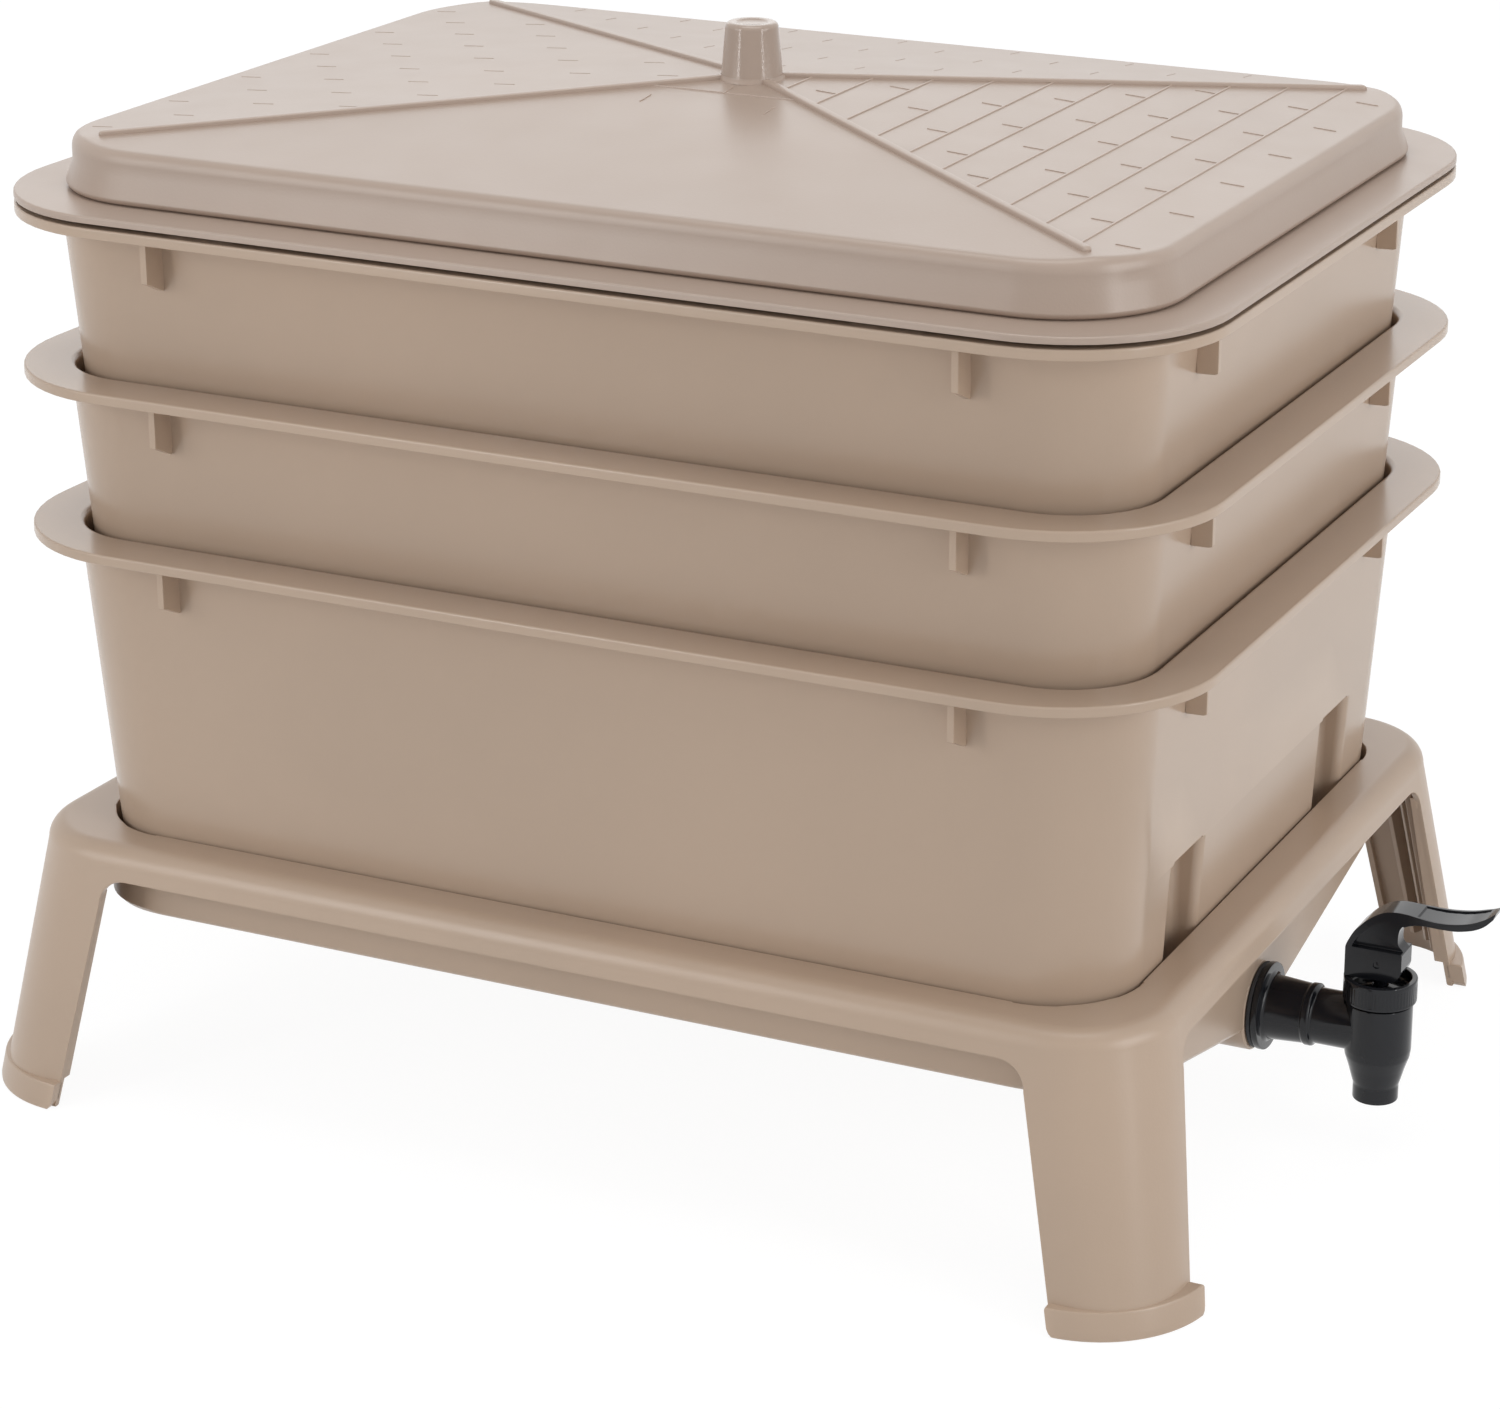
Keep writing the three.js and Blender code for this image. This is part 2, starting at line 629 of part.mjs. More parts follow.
// Guides inside the ring: each stands off the tray's wall and has a foot that the tray rests on.
function trayGuides() {
  const foot = floorToTrayRim - trayDepth - fitGap;
  const guide = (wall, levelAt) => {
    const outer = wall + half(standThickness);
    const inner = wall - openingClearance + guideGap;
    const toe = wall - guideFootReach;
    return sideBar([
      [outer, levelAt(wall)], [outer, ringTop - bite], [inner, ringTop - bite],
      [inner, foot], [toe, foot], [toe, levelAt(toe)],
    ], guideWidth);
  };
  const level = (x, y) => (
    sumpFloor + half(standThickness) - sumpFall(x, y, openingLong, openingShort)
  );
  const onEnds = [-1, 1].flatMap((turn) => [-1, 1].map((side) => (
    guide(openingLong, (u) => level(turn * u, guideOffsetShort))
      .rotate([0, 0, turn > 0 ? 0 : 180]).translate([0, side * guideOffsetShort, 0])
  )));
  const onSides = [-1, 1].flatMap((turn) => [guideInnerOffset, guideOuterOffset].flatMap((offset) => [-1, 1].map((side) => (
    guide(openingShort, (u) => level(side * offset, u))
      .rotate([0, 0, turn * 90]).translate([side * offset, 0, 0])
  ))));
  return [...onEnds, ...onSides];
}

function standSolid() {
  const folded = insideEdge.map(([x]) => [x, 0, ringTop + bite]);
  const hollow = toSolid(skin([
    insideValley, insideEdge, openingLoop(0, ringTop + bite), folded,
  ], [], false));
  const wallInner = bossFace - standThickness;
  const boss = shaftRod(bossRadius, bossFace - bossLength, bossFace).subtract(hollow);
  const pocket = shaftRod(bossBore, bossFace - bossLength + standThickness, wallInner);
  const bore = shaftRod(threadRadius + fitGap, wallInner - standThickness, bossFace + bite);
  const body = joined(standShell(), boss, ...legExtras(), ...trayGuides());
  return body.subtract(pocket).subtract(bore);
}

// The lid: a flange, an upright slab and a shallow hipped roof, all one thin moulding with its knob.
function lidSolid() {
  const slabTop = lidBase + lidFlangeThickness + slabRise;
  const roof = (x, y, drop) => (
    slabTop - drop + lidRoofRise * (1 - Math.max(Math.abs(x) / slabLong, Math.abs(y) / slabShort))
  );
  const slab = (inset, z) => lift(roundedLoop(slabLong - inset, slabShort - inset, slabCornerRadius - inset), z);
  const roofEdge = (inset, drop) => slab(inset, 0).map(([x, y]) => [x, y, roof(x, y, drop)]);
  const apex = (drop) => slab(0, 0).map(() => [0, 0, roof(0, 0, drop)]);
  const flange = (inset, z) => (
    lift(roundedLoop(half(rimLength) - inset, half(rimWidth) - inset, rimCornerRadius - inset), z)
  );
  const skirtOut = slabLong - (wallLongAtRim - wallThickness - lidSkirtClearance);
  const skirtFoot = lidBase - lidSeatGap - lidSkirtDepth;
  const slabFoot = lidBase + lidFlangeThickness + half(lidThickness);
  const shell = toSolid(skin([
    apex(0), roofEdge(slabEdgeRounding, 0), roofEdge(half(slabEdgeRounding), half(lidThickness)),
    slab(slabEdgeRounding * (1 - Math.cos(Math.PI / 4)), slabTop - half(slabEdgeRounding)),
    slab(0, slabTop - slabEdgeRounding), slab(0, slabFoot),
    flange(rimEdgeRounding, lidBase + lidFlangeThickness), flange(0, lidBase + lidFlangeThickness - rimEdgeRounding),
    flange(0, lidBase), slab(skirtOut, slabFoot - lidThickness), slab(skirtOut, skirtFoot),
    slab(skirtOut + lidThickness, skirtFoot), slab(skirtOut + lidThickness, slabTop - slabEdgeRounding),
    roofEdge(skirtOut + lidThickness + half(slabEdgeRounding), lidThickness), apex(lidThickness),
  ], [], false));
  const knobFoot = roof(0, 0, half(lidThickness));
  const knobTop = roof(0, 0, 0) + knobHeight;
  const knob = turnedSolid([
    [0, knobFoot], [knobBaseRadius, knobFoot], [knobBaseRadius, knobFoot + lidThickness],
    [knobTopRadius, knobTop - bite], [knobTopRadius - bite, knobTop], [knobDishRadius, knobTop],
    [knobDishRadius - bite, knobTop - knobDishDepth], [0, knobTop - knobDishDepth],
  ]);
  const core = turnedSolid([
    [0, knobFoot - knobHeight], [knobBaseRadius - knobWall, knobFoot - knobHeight],
    [knobBaseRadius - knobWall, knobFoot], [knobTopRadius - knobWall, knobTop - 2 * knobWall],
    [0, knobTop - 2 * knobWall],
  ]);
  const [hipLong, hipShort] = [beadLengthShare * slabLong, beadLengthShare * slabShort];
  const hipLength = Math.hypot(hipLong, hipShort);
  const hipStart = knobBaseRadius - half(knobWall);
  const hipZ = (s) => roof((s * hipLong) / hipLength, (s * hipShort) / hipLength, 0);
  const bead = sideBar([
    [hipStart, hipZ(hipStart) - bite], [hipLength, hipZ(hipLength) - bite],
    [hipLength, hipZ(hipLength)], [hipLength - beadHeight, hipZ(hipLength) + beadHeight],
    [hipStart, hipZ(hipStart) + beadHeight],
  ], beadWidth).rotate([0, 0, (Math.atan2(hipShort, hipLong) * 180) / Math.PI]);
  const beads = quarters.map(([sx, sy]) => bead.scale([sx, sy, 1]));
  const padZ = lidBase - lidSeatGap + fitGap;
  const pad = (wall, length) => {
    const high = lidBase + half(lidFlangeThickness);
    return sideBar([[-half(length), padZ], [half(length), padZ], [half(length), high], [-half(length), high]], wallThickness)
      .translate([0, wall + half(wallInset), 0]);
  };
  const pads = [-1, 1].flatMap((side) => [-1, 1].flatMap((turn) => [
    pad(wallShortAtRim, lidPadLength).scale([1, turn, 1]).translate([side * lidPadOffsetLong, 0, 0]),
    pad(wallLongAtRim, lidPadLength).rotate([0, 0, turn * 90]).translate([0, side * lidPadOffsetShort, 0]),
  ]));
  return joined(shell, knob, ...beads, ...pads).subtract(core);
}

function tapPieces() {
  const gasketBack = bossFace + fitGap;
  const threadEnd = flangeBack - threadLength;
  const shankEnd = flangeBack + flangeThickness + shankLength;
  const outerShank = shaft([
    [0, threadEnd], [threadRadius, threadEnd], [threadRadius, flangeBack], [flangeRadius, flangeBack],
    [flangeRadius, flangeBack + flangeThickness], [shankRootRadius, flangeBack + flangeThickness],
    [shankEndRadius, shankEnd], [beadRingRadius, shankEnd + rimEdgeRounding],
    [beadRingRadius, shankEnd + beadRingLength], [neckRadius, shankEnd + beadRingLength + rimEdgeRounding],
    [neckRadius, barrelX], [0, barrelX],
  ]);
  const spoutFoot = tapHeight - spoutDrop;
  const taperTop = tapHeight - barrelTaperDrop;
  const barrel = turnedSolid([
    [0, spoutFoot], [spoutRadius, spoutFoot], [spoutRadius, tapHeight - spoutDropTop],
    [half(spoutRadius + barrelRadius), half(tapHeight - spoutDropTop + taperTop)],
    [barrelRadius, taperTop], [barrelRadius, barrelTop], [collarRadius, barrelTop],
    [collarRadius, barrelTop + collarHeight], [0, barrelTop + collarHeight],
  ]).translate([barrelX, 0, 0]);
  const chamber = turnedSolid([
    [0, spoutFoot - bite], [spoutBore, spoutFoot - bite], [spoutBore, seatHeight - wallThickness],
    [seatBore, seatHeight - wallThickness], [seatBore, seatHeight], [chamberRadius, seatHeight],
    [chamberRadius, barrelTop + collarHeight + bite], [0, barrelTop + collarHeight + bite],
  ]).translate([barrelX, 0, 0]);
  const waterway = shaftRod(shankBore, threadEnd - bite, barrelX);
  addPiece("tap_body", outerShank.add(barrel).subtract(chamber).subtract(waterway), black);

  const ring = (outer, inner, from, to) => (
    shaftRod(outer, from, to).subtract(shaftRod(inner, from - bite, to + bite))
  );
  const washerBore = threadRadius + fitGap;
  addPiece("tap_outer_gasket", ring(gasketRadius, washerBore, gasketBack, gasketBack + gasketThickness), rubber);
  const wallInner = bossFace - standThickness;
  const innerBack = wallInner - fitGap - gasketThickness;
  addPiece("tap_inner_gasket", ring(bossBore - innerGasketInset, washerBore, innerBack, innerBack + gasketThickness), rubber);
  const nutFront = innerBack - fitGap;
  const hexagon = Array.from({ length: 6 }, (_, i) => [
    nutCorner * Math.cos((Math.PI / 3) * i), nutCorner * Math.sin((Math.PI / 3) * i),
  ]);
  const nut = toSolid(skin([lift(hexagon, nutFront - nutLength), lift(hexagon, nutFront)]))
    .rotate([0, 90, 0]).translate([0, 0, tapHeight]);
  addPiece("tap_lock_nut", nut.subtract(shaftRod(washerBore, nutFront - nutLength - bite, nutFront + bite)), black);

  const plateLow = barrelTop + collarHeight + runGap;
  const bonnet = rod(bonnetRadius, bonnetBase, bonnetTop)
    .subtract(rod(bonnetInner, bonnetBase - bite, plateLow))
    .subtract(rod(bonnetInner, plateLow + bonnetPlate, bonnetTop + bite))
    .subtract(rod(stemRadius + runGap, bonnetBase, bonnetTop));
  addPiece("tap_bonnet", bonnet.translate([barrelX, 0, 0]), black);

  const crossRod = (radius, width) => (
    rod(radius, -half(width), half(width)).rotate([90, 0, 0]).translate([barrelX, 0, pinHeight])
  );
  const cupFoot = seatHeight + runGap;
  const stemFoot = cupFoot + cupHeight - cupSocketDepth + runGap;
  const stem = rod(stemRadius, stemFoot, pinHeight).translate([barrelX, 0, 0])
    .add(crossRod(stemHeadRadius, stemHeadWidth)).subtract(crossRod(pinRadius + runGap, leverWidth));
  addPiece("tap_stem", stem, black);
  addPiece("tap_lever_pin", crossRod(pinRadius, leverWidth - 2 * runGap), black);
  const cup = turnedSolid([
    [0, cupFoot], [seatBore, cupFoot], [cupRadius, cupFoot + half(bite)], [cupRadius, cupFoot + cupHeight],
    [stemRadius + runGap, cupFoot + cupHeight], [stemRadius + runGap, cupFoot + cupHeight - cupSocketDepth],
    [0, cupFoot + cupHeight - cupSocketDepth],
  ]).translate([barrelX, 0, 0]);
  addPiece("tap_valve_cup", cup, clear);

  const slotTop = pinHeight + stemHeadRadius + headTopGap;
  const slot = sideBar([
    [-half(leverSlotLength), bonnetTop], [half(leverSlotLength), bonnetTop],
    [half(leverSlotLength), slotTop], [-half(leverSlotLength), slotTop],
  ], leverSlotWidth).translate([barrelX, 0, 0]);
  const lever = sideBar(leverOutlineShares.map(([x, z]) => [barrelX + x * leverReach, bonnetTop + runGap + z * leverHeight]), leverWidth)
    .subtract(slot).subtract(crossRod(pinRadius + pinFit, leverWidth + bite));
  addPiece("tap_lever", lever, black);
}

addPiece("stand", standSolid(), plastic);
const tray = traySolid();
trayNames.forEach((name, level) => {
  addPiece(name, tray.translate([0, 0, floorToTrayRim + level * trayPitch]), plastic);
});
addPiece("lid", lidSolid(), matte);
tapPieces();

// The origin is the middle of the whole object's footprint, at floor level.
const box = new THREE.Box3().setFromObject(root);
root.position.set(-half(box.min.x + box.max.x), -half(box.min.y + box.max.y), -box.min.z);

export default root;
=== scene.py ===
"""Builds the stacking wormery: three trays, a hipped lid, a legged stand and a push tap, on a pale stage."""
from math import atan2, copysign, cos, floor, hypot, pi, radians, sin, sqrt

import bmesh
import bpy
from bpy.props import FloatProperty, FloatVectorProperty, IntProperty, PointerProperty
from mathutils import Matrix, Vector


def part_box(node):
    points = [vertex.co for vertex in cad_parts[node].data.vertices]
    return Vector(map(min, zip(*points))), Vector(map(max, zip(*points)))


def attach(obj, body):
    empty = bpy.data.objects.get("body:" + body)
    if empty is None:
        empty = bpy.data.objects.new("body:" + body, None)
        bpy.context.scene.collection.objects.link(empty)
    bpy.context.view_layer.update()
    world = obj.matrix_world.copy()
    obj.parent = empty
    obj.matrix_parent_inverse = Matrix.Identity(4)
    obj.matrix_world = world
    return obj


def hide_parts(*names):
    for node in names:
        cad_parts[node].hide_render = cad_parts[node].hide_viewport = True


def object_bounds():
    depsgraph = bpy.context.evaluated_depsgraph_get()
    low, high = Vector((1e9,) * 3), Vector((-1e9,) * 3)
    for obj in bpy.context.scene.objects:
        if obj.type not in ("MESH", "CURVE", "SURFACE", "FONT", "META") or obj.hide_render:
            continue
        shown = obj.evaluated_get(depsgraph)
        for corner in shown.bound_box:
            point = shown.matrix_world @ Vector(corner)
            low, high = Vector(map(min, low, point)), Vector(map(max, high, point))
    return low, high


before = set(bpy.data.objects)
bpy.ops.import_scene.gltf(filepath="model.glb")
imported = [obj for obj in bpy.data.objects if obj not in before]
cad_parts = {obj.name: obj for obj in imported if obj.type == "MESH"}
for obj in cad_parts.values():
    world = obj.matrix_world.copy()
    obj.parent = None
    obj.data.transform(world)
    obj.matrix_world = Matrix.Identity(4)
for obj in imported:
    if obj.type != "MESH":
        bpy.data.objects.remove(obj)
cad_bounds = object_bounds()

bl_info = {
    "name": "Stacking Wormery",
    "version": (1, 0, 0),
    "blender": (4, 5, 0),
    "location": "View3D > Sidebar > Wormery",
    "description": "Builds a stacking wormery with its trays, lid, legged stand and push tap",
    "category": "Add Mesh",
}


# Settings

def length(name, default, description):
    return FloatProperty(name=name, description=description, default=default, min=0.0, unit="LENGTH", precision=4)


def share(name, default, description):
    return FloatProperty(name=name, description=description, default=default, min=0.0, max=1.0, subtype="FACTOR")


def power(name, default, description):
    return FloatProperty(name=name, description=description, default=default, min=0.0, unit="POWER")


def count(name, default, description):
    return IntProperty(name=name, description=description, default=default, min=1)


def colour(name, default, description):
    return FloatVectorProperty(
        name=name, description=description, default=default, size=4, min=0.0, max=1.0, subtype="COLOR")


class WormeryRimSettings(bpy.types.PropertyGroup):
    """Plan sizes that the trays share with the lid."""
    length: length("Length", 0.530, "Long side of every rim")
    width: length("Width", 0.402, "Short side of every rim")
    corner: length("Corner radius", 0.067, "Radius of the rim's corners in plan")
    thickness: length("Thickness", 0.0044, "Height of the rim's outer band")
    edge: length("Edge rounding", 0.0009, "Rounding along the rim's outer edges")
    inner_edge: length("Inner rounding", 0.0030, "Rounding where the wall turns into the rim")
    wall_inset: length("Wall inset", 0.0212, "From the rim's outside to the wall's outside")
    wall: length("Wall thickness", 0.0025, "Thickness of a tray's wall")
    wall_corner: length("Wall corner radius", 0.041, "Radius of the wall's corners in plan")
    wall_draft: share("Wall draft", 0.057, "How far the wall leans in for each unit of depth")


class WormeryTraySettings(bpy.types.PropertyGroup):
    """Sizes of one tray, measured from the underside of its rim."""
    depth: length("Depth", 0.156, "From the rim's underside to the tray's foot")
    pitch: length("Stacking pitch", 0.069, "From one tray's rim to the next one's")
    seat_gap: length("Seat gap", 0.0003, "Play between stacked trays")
    floor_edge: length("Floor rounding", 0.0025, "Rounding where the wall turns into the floor")
    recess_near: length("Recess start", 0.074, "From the end's middle to the near edge of a recess")
    recess_far: length("Recess end", 0.106, "From the end's middle to the far edge of a recess")
    recess_depth: length("Recess depth", 0.013, "How far a recess is pressed into the end")
    recess_edge: length("Recess rounding", 0.0012, "Rounding of the recess's level edges")
    recess_turn: length("Recess corner", 0.0042, "Rounding of the recess's upright edges")
    hole: length("Drain hole radius", 0.0045, "Radius of a drain hole")
    hole_lip: length("Drain hole rounding", 0.0005, "Softened edge of a drain hole")
    hole_pitch_long: length("Hole pitch, long", 0.048, "Spacing of the holes along the tray")
    hole_pitch_short: length("Hole pitch, short", 0.044, "Spacing of the holes across the tray")
    hole_margin: length("Hole margin", 0.036, "From the floor's edge to the outer holes")
    fin: length("Fin thickness", 0.003, "Thickness of a bracket under the rim")
    fin_reach: length("Fin reach", 0.011, "How far a bracket stands out from the wall")
    fin_height: length("Fin height", 0.024, "Height of a bracket at the wall")
    fin_tip: length("Fin tip height", 0.019, "Height of a bracket at its tip")
    fin_end_reach: length("End fin reach", 0.0078, "How far a bracket on an end stands out")
    fin_end_tip: length("End fin tip height", 0.0232, "Height at its tip of a bracket on an end")
    fin_long: length("Fin place, long", 0.1780, "From the middle to a bracket on a long side")
    fin_short: length("Fin place, short", 0.1080, "From the middle to a bracket on a short side")


class WormeryStandSettings(bpy.types.PropertyGroup):
    """Sizes of the legged stand with its sump."""
    height: length("Height", 0.1189, "From the floor to the ring's flat top")
    rest_drop: length("Rest drop", 0.0267, "From the ring's top down to the lowest tray's foot")
    apron: length("Apron", 0.0146, "Height of the ring's apron between the legs")
    ring_end: length("Ring width, ends", 0.0222, "Width of the ring at the ends")
    ring_side: length("Ring width, sides", 0.0212, "Width of the ring along the sides")
    ring_corner: length("Ring corner radius", 0.042, "Radius of the ring's corners in plan")
    shoulder: length("Shoulder", 0.009, "Rounding from the ring's top into the apron")
    opening_edge: length("Opening edge", 0.0005, "Rounding of the opening's edge")
    notch: length("Corner notch", 0.0006, "Step that widens the opening round its corners")
    wall: length("Wall thickness", 0.003, "Thickness of the stand's wall")
    clearance: length("Tray clearance", 0.0009, "Gap round the lowest tray")
    corner_relief: length("Corner relief", 0.002, "How much tighter the opening's corners are than the tray's")
    sump_depth: length("Sump depth", 0.0372, "From the ring's top to the sump's edge")
    sump_draft: length("Sump draft", 0.0012, "How far the sump's wall leans in")
    fall_far: length("Fall, far end", 0.004, "Extra depth of the sump's middle at the far end")
    fall_tap: length("Fall, tap end", 0.038, "Extra depth of the sump's middle at the tap's end")
    splay: length("Leg splay", 0.016, "How far a leg leans out at the floor")
    leg_corner: length("Leg corner radius", 0.035, "Radius of a leg's corner at the floor")
    flat_long_top: length("Leg flat, long, top", 0.0042, "Flat part of a leg on the long side, at the top")
    flat_long_foot: length("Leg flat, long, foot", 0.008, "Flat part of a leg on the long side, at the foot")
    flat_short_top: length("Leg flat, short, top", 0.0015, "Flat part of a leg on the short side, at the top")
    flat_short_foot: length("Leg flat, short, foot", 0.0045, "Flat part of a leg on the short side, at the foot")
    fillet: length("Leg fillet", 0.012, "Radius where the apron turns down into a leg")
    hem: length("Hem rounding", 0.0008, "Rounding of the stand's lower edge")
    rib_gap: length("Rib gap", 0.012, "From the floor to the ribs in a leg")
    rib_depth: length("Rib depth", 0.0085, "How far a leg's ribs stand in")
    rib: length("Rib thickness", 0.0026, "Thickness of a leg's ribs")
    fold: length("Edge fold", 0.0045, "Depth of the folded edge of a leg")
    fold_taper: share("Fold taper", 0.6, "How much shallower the folded edge gets towards its top")
    lip_height: length("Foot lip height", 0.012, "Height of the lip round a foot")
    lip_long: length("Foot lip, long", 0.006, "How far the lip stands proud on the end")
    lip_short: length("Foot lip, short", 0.004, "How far the lip stands proud on the side")
    lip_middle: length("Foot lip, middle", 0.0012, "How far the lip stands proud at the corner's middle")
    guide: length("Guide thickness", 0.0026, "Thickness of a guide that carries the tray")
    guide_foot: length("Guide foot", 0.009, "How far a guide's foot reaches under the tray")
    guide_short: length("Guide place, short", 0.1340, "From the middle to a guide on an end")
    guide_outer: length("Guide place, outer", 0.1950, "From the middle to an outer guide on a side")
    guide_inner: length("Guide place, inner", 0.1670, "From the middle to an inner guide on a side")
    boss_wall: length("Boss wall", 0.0025, "Wall of the boss round the tap's nut")
    boss: length("Boss length", 0.021, "Length of the boss round the tap's nut")
    boss_bore: length("Boss bore", 0.01746, "Inner radius of the boss")
    bore: length("Tap bore", 0.0081, "Radius of the hole that the tap passes through")


class WormeryLidSettings(bpy.types.PropertyGroup):
    """Sizes of the lid."""
    seat_gap: length("Seat gap", 0.0018, "Gap between the upper rim and the lid's flange")
    flange: length("Flange thickness", 0.003, "Thickness of the lid's flange")
    wall: length("Wall thickness", 0.0025, "Thickness of the lid's moulding")
    slab_inset: length("Slab inset", 0.0018, "From the tray's wall line to the slab's side")
    slab_corner: length("Slab corner radius", 0.048, "Radius of the slab's corners in plan")
    slab_rise: length("Slab rise", 0.0214, "Height of the slab's side")
    slab_edge: length("Slab edge rounding", 0.005, "Rounding of the slab's upper edge")
    slab_root: length("Slab root rounding", 0.003, "Rounding where the slab rises from the flange")
    roof_rise: length("Roof rise", 0.017, "Height of the hipped roof")
    skirt: length("Skirt depth", 0.009, "Depth of the skirt inside the upper rim")
    skirt_gap: length("Skirt clearance", 0.0015, "Play between the skirt and the tray's wall")
    bead: length("Hip bead width", 0.004, "Width of the raised bead along a hip")
    bead_height: length("Hip bead height", 0.0018, "Height of the raised bead along a hip")
    bead_share: share("Hip bead length", 0.9, "Length of a bead as a share of the hip")
    course: length("Course pitch", 0.0211, "Spacing of the tile courses")
    tick: length("Tick length", 0.010, "Length of the short joints between tiles")
    tick_pitch: length("Tick pitch", 0.0556, "Spacing of the short joints along a course")
    tick_shift: length("Tick shift", 0.0052, "Sideways shift of the short joints")
    line: length("Line width", 0.0010, "Width of a course line")
    line_height: length("Line height", 0.0005, "Height of a course line")
    knob_foot: length("Knob radius, foot", 0.0129, "Radius of the knob at its foot")
    knob_head: length("Knob radius, head", 0.0112, "Radius of the knob at its head")
    knob_height: length("Knob height", 0.023, "Height of the knob")
    knob_edge: length("Knob rounding", 0.0022, "Rounding of the knob's upper edge")
    dish: length("Dish radius", 0.007, "Radius of the shallow dish in the knob's head")
    dish_depth: length("Dish depth", 0.0008, "Depth of the shallow dish")


class WormeryTapSettings(bpy.types.PropertyGroup):
    """Sizes of the push tap."""
    below_ring: length("Axis below ring", 0.0642, "From the ring's top down to the tap's axis")
    flange: length("Flange radius", 0.019, "Radius of the flange")
    flange_thickness: length("Flange thickness", 0.0028, "Thickness of the flange")
    thread: length("Thread radius", 0.0078, "Outer radius of the thread")
    thread_length: length("Thread length", 0.016, "Length of the threaded tail")
    thread_pitch: length("Thread pitch", 0.0016, "Pitch of the thread")
    shank_root: length("Shank radius, root", 0.0139, "Radius of the shank at the flange")
    shank_end: length("Shank radius, end", 0.0129, "Radius of the shank at the bead")
    shank: length("Shank length", 0.017, "Length of the tapered shank")
    ring: length("Bead radius", 0.0135, "Radius of the bead round the shank")
    ring_length: length("Bead length", 0.0034, "Length of the bead round the shank")
    neck: length("Neck radius", 0.012, "Radius of the neck behind the barrel")
    bore: length("Waterway radius", 0.006, "Radius of the waterway")
    barrel: length("Barrel radius", 0.0142, "Radius of the barrel")
    barrel_shoulder: length("Barrel shoulder", 0.0008, "Height of the barrel above the neck")
    groove: length("Groove", 0.0008, "Height of the groove between barrel and bonnet")
    taper_drop: length("Taper drop", 0.011, "From the axis down to the start of the taper")
    spout_top: length("Spout start", 0.0245, "From the axis down to the end of the taper")
    spout_drop: length("Spout drop", 0.0325, "From the axis down to the spout's mouth")
    spout: length("Spout radius", 0.0097, "Outer radius of the spout")
    spout_bore: length("Spout bore", 0.0074, "Inner radius of the spout")
    seat_bore: length("Seat bore", 0.005, "Radius of the valve seat")
    seat_drop: length("Seat drop", 0.0115, "From the axis down to the valve seat")
    collar: length("Collar radius", 0.0126, "Radius of the collar that holds the bonnet")
    collar_wall: length("Collar wall", 0.0016, "Wall of the collar")
    collar_height: length("Collar height", 0.0042, "Height of the collar")
    bonnet_wall: length("Bonnet wall", 0.0026, "Wall of the bonnet")
    bonnet_plate: length("Bonnet plate", 0.0022, "Thickness of the plate inside the bonnet")
    bonnet_dome: length("Bonnet dome", 0.0013, "How far the bonnet's plate falls towards its wall")
    grips: count("Bonnet grips", 60, "Number of grip ridges round the bonnet")
    grip_depth: length("Grip depth", 0.00013, "Depth of the grip ridges")
    stem: length("Stem radius", 0.0028, "Radius of the stem")
    head: length("Stem head radius", 0.0042, "Radius of the stem's eye")
    head_width: length("Stem head width", 0.0066, "Width of the stem's eye")
    pin: length("Pin radius", 0.0015, "Radius of the lever's pin")
    gap: length("Running gap", 0.0003, "Play between moving parts")
    lever_reach: length("Lever reach", 0.0508, "From the tap's axis to the paddle's tip")
    lever_height: length("Lever height", 0.0408, "From the bonnet's top to the paddle's tip")
    leaf: share("Paddle spread", 0.24, "How much wider the paddle gets along its middle")
    leaf_tip: share("Paddle tip", 0.45, "How much narrower the paddle gets at its tip")
    cheek: length("Lever cheek", 0.0032, "Thickness of the lever's cheeks")
    edge: length("Edge rounding", 0.0006, "Rounding of the tap's edges")


class WormeryFinishSettings(bpy.types.PropertyGroup):
    """Colours and gloss of the mouldings."""
    taupe: colour("Taupe plastic", (0.475, 0.358, 0.268, 1.0), "Colour of the trays and the stand")
    lid_taupe: colour("Taupe lid", (0.425, 0.331, 0.270, 1.0), "Colour of the lid")
    black: colour("Black plastic", (0.0085, 0.0095, 0.0125, 1.0), "Colour of the tap")
    rubber: colour("Rubber", (0.030, 0.032, 0.036, 1.0), "Colour of the gaskets")
    silicone: colour("Silicone", (0.70, 0.69, 0.65, 1.0), "Colour of the valve cup")
    floor: colour("Floor", (0.86, 0.86, 0.86, 1.0), "Colour of the floor")
    satin: share("Tray roughness", 0.23, "Roughness of the trays and the stand")
    matt: share("Lid roughness", 0.32, "Roughness of the lid")
    gloss: share("Tap roughness", 0.13, "Roughness of the tap")


class WormeryStageSettings(bpy.types.PropertyGroup):
    """Lamp strengths and the camera."""
    sky: FloatProperty(name="Sky strength", description="Strength of the even light all round", default=0.45, min=0.0)
    key: power("Key power", 7.5, "Power of the lamp at the front left")
    fill: power("Fill power", 12.0, "Power of the lamp on the tap's side")
    strip: power("Strip power", 4.5, "Power of each upright strip")
    back: power("Back power", 9.0, "Power of the lamp behind")
    top: power("Top power", 15.0, "Power of the lamp overhead")
    lens: FloatProperty(name="Lens", description="Focal length on a 36 mm film", default=99.8, min=1.0, unit="CAMERA")


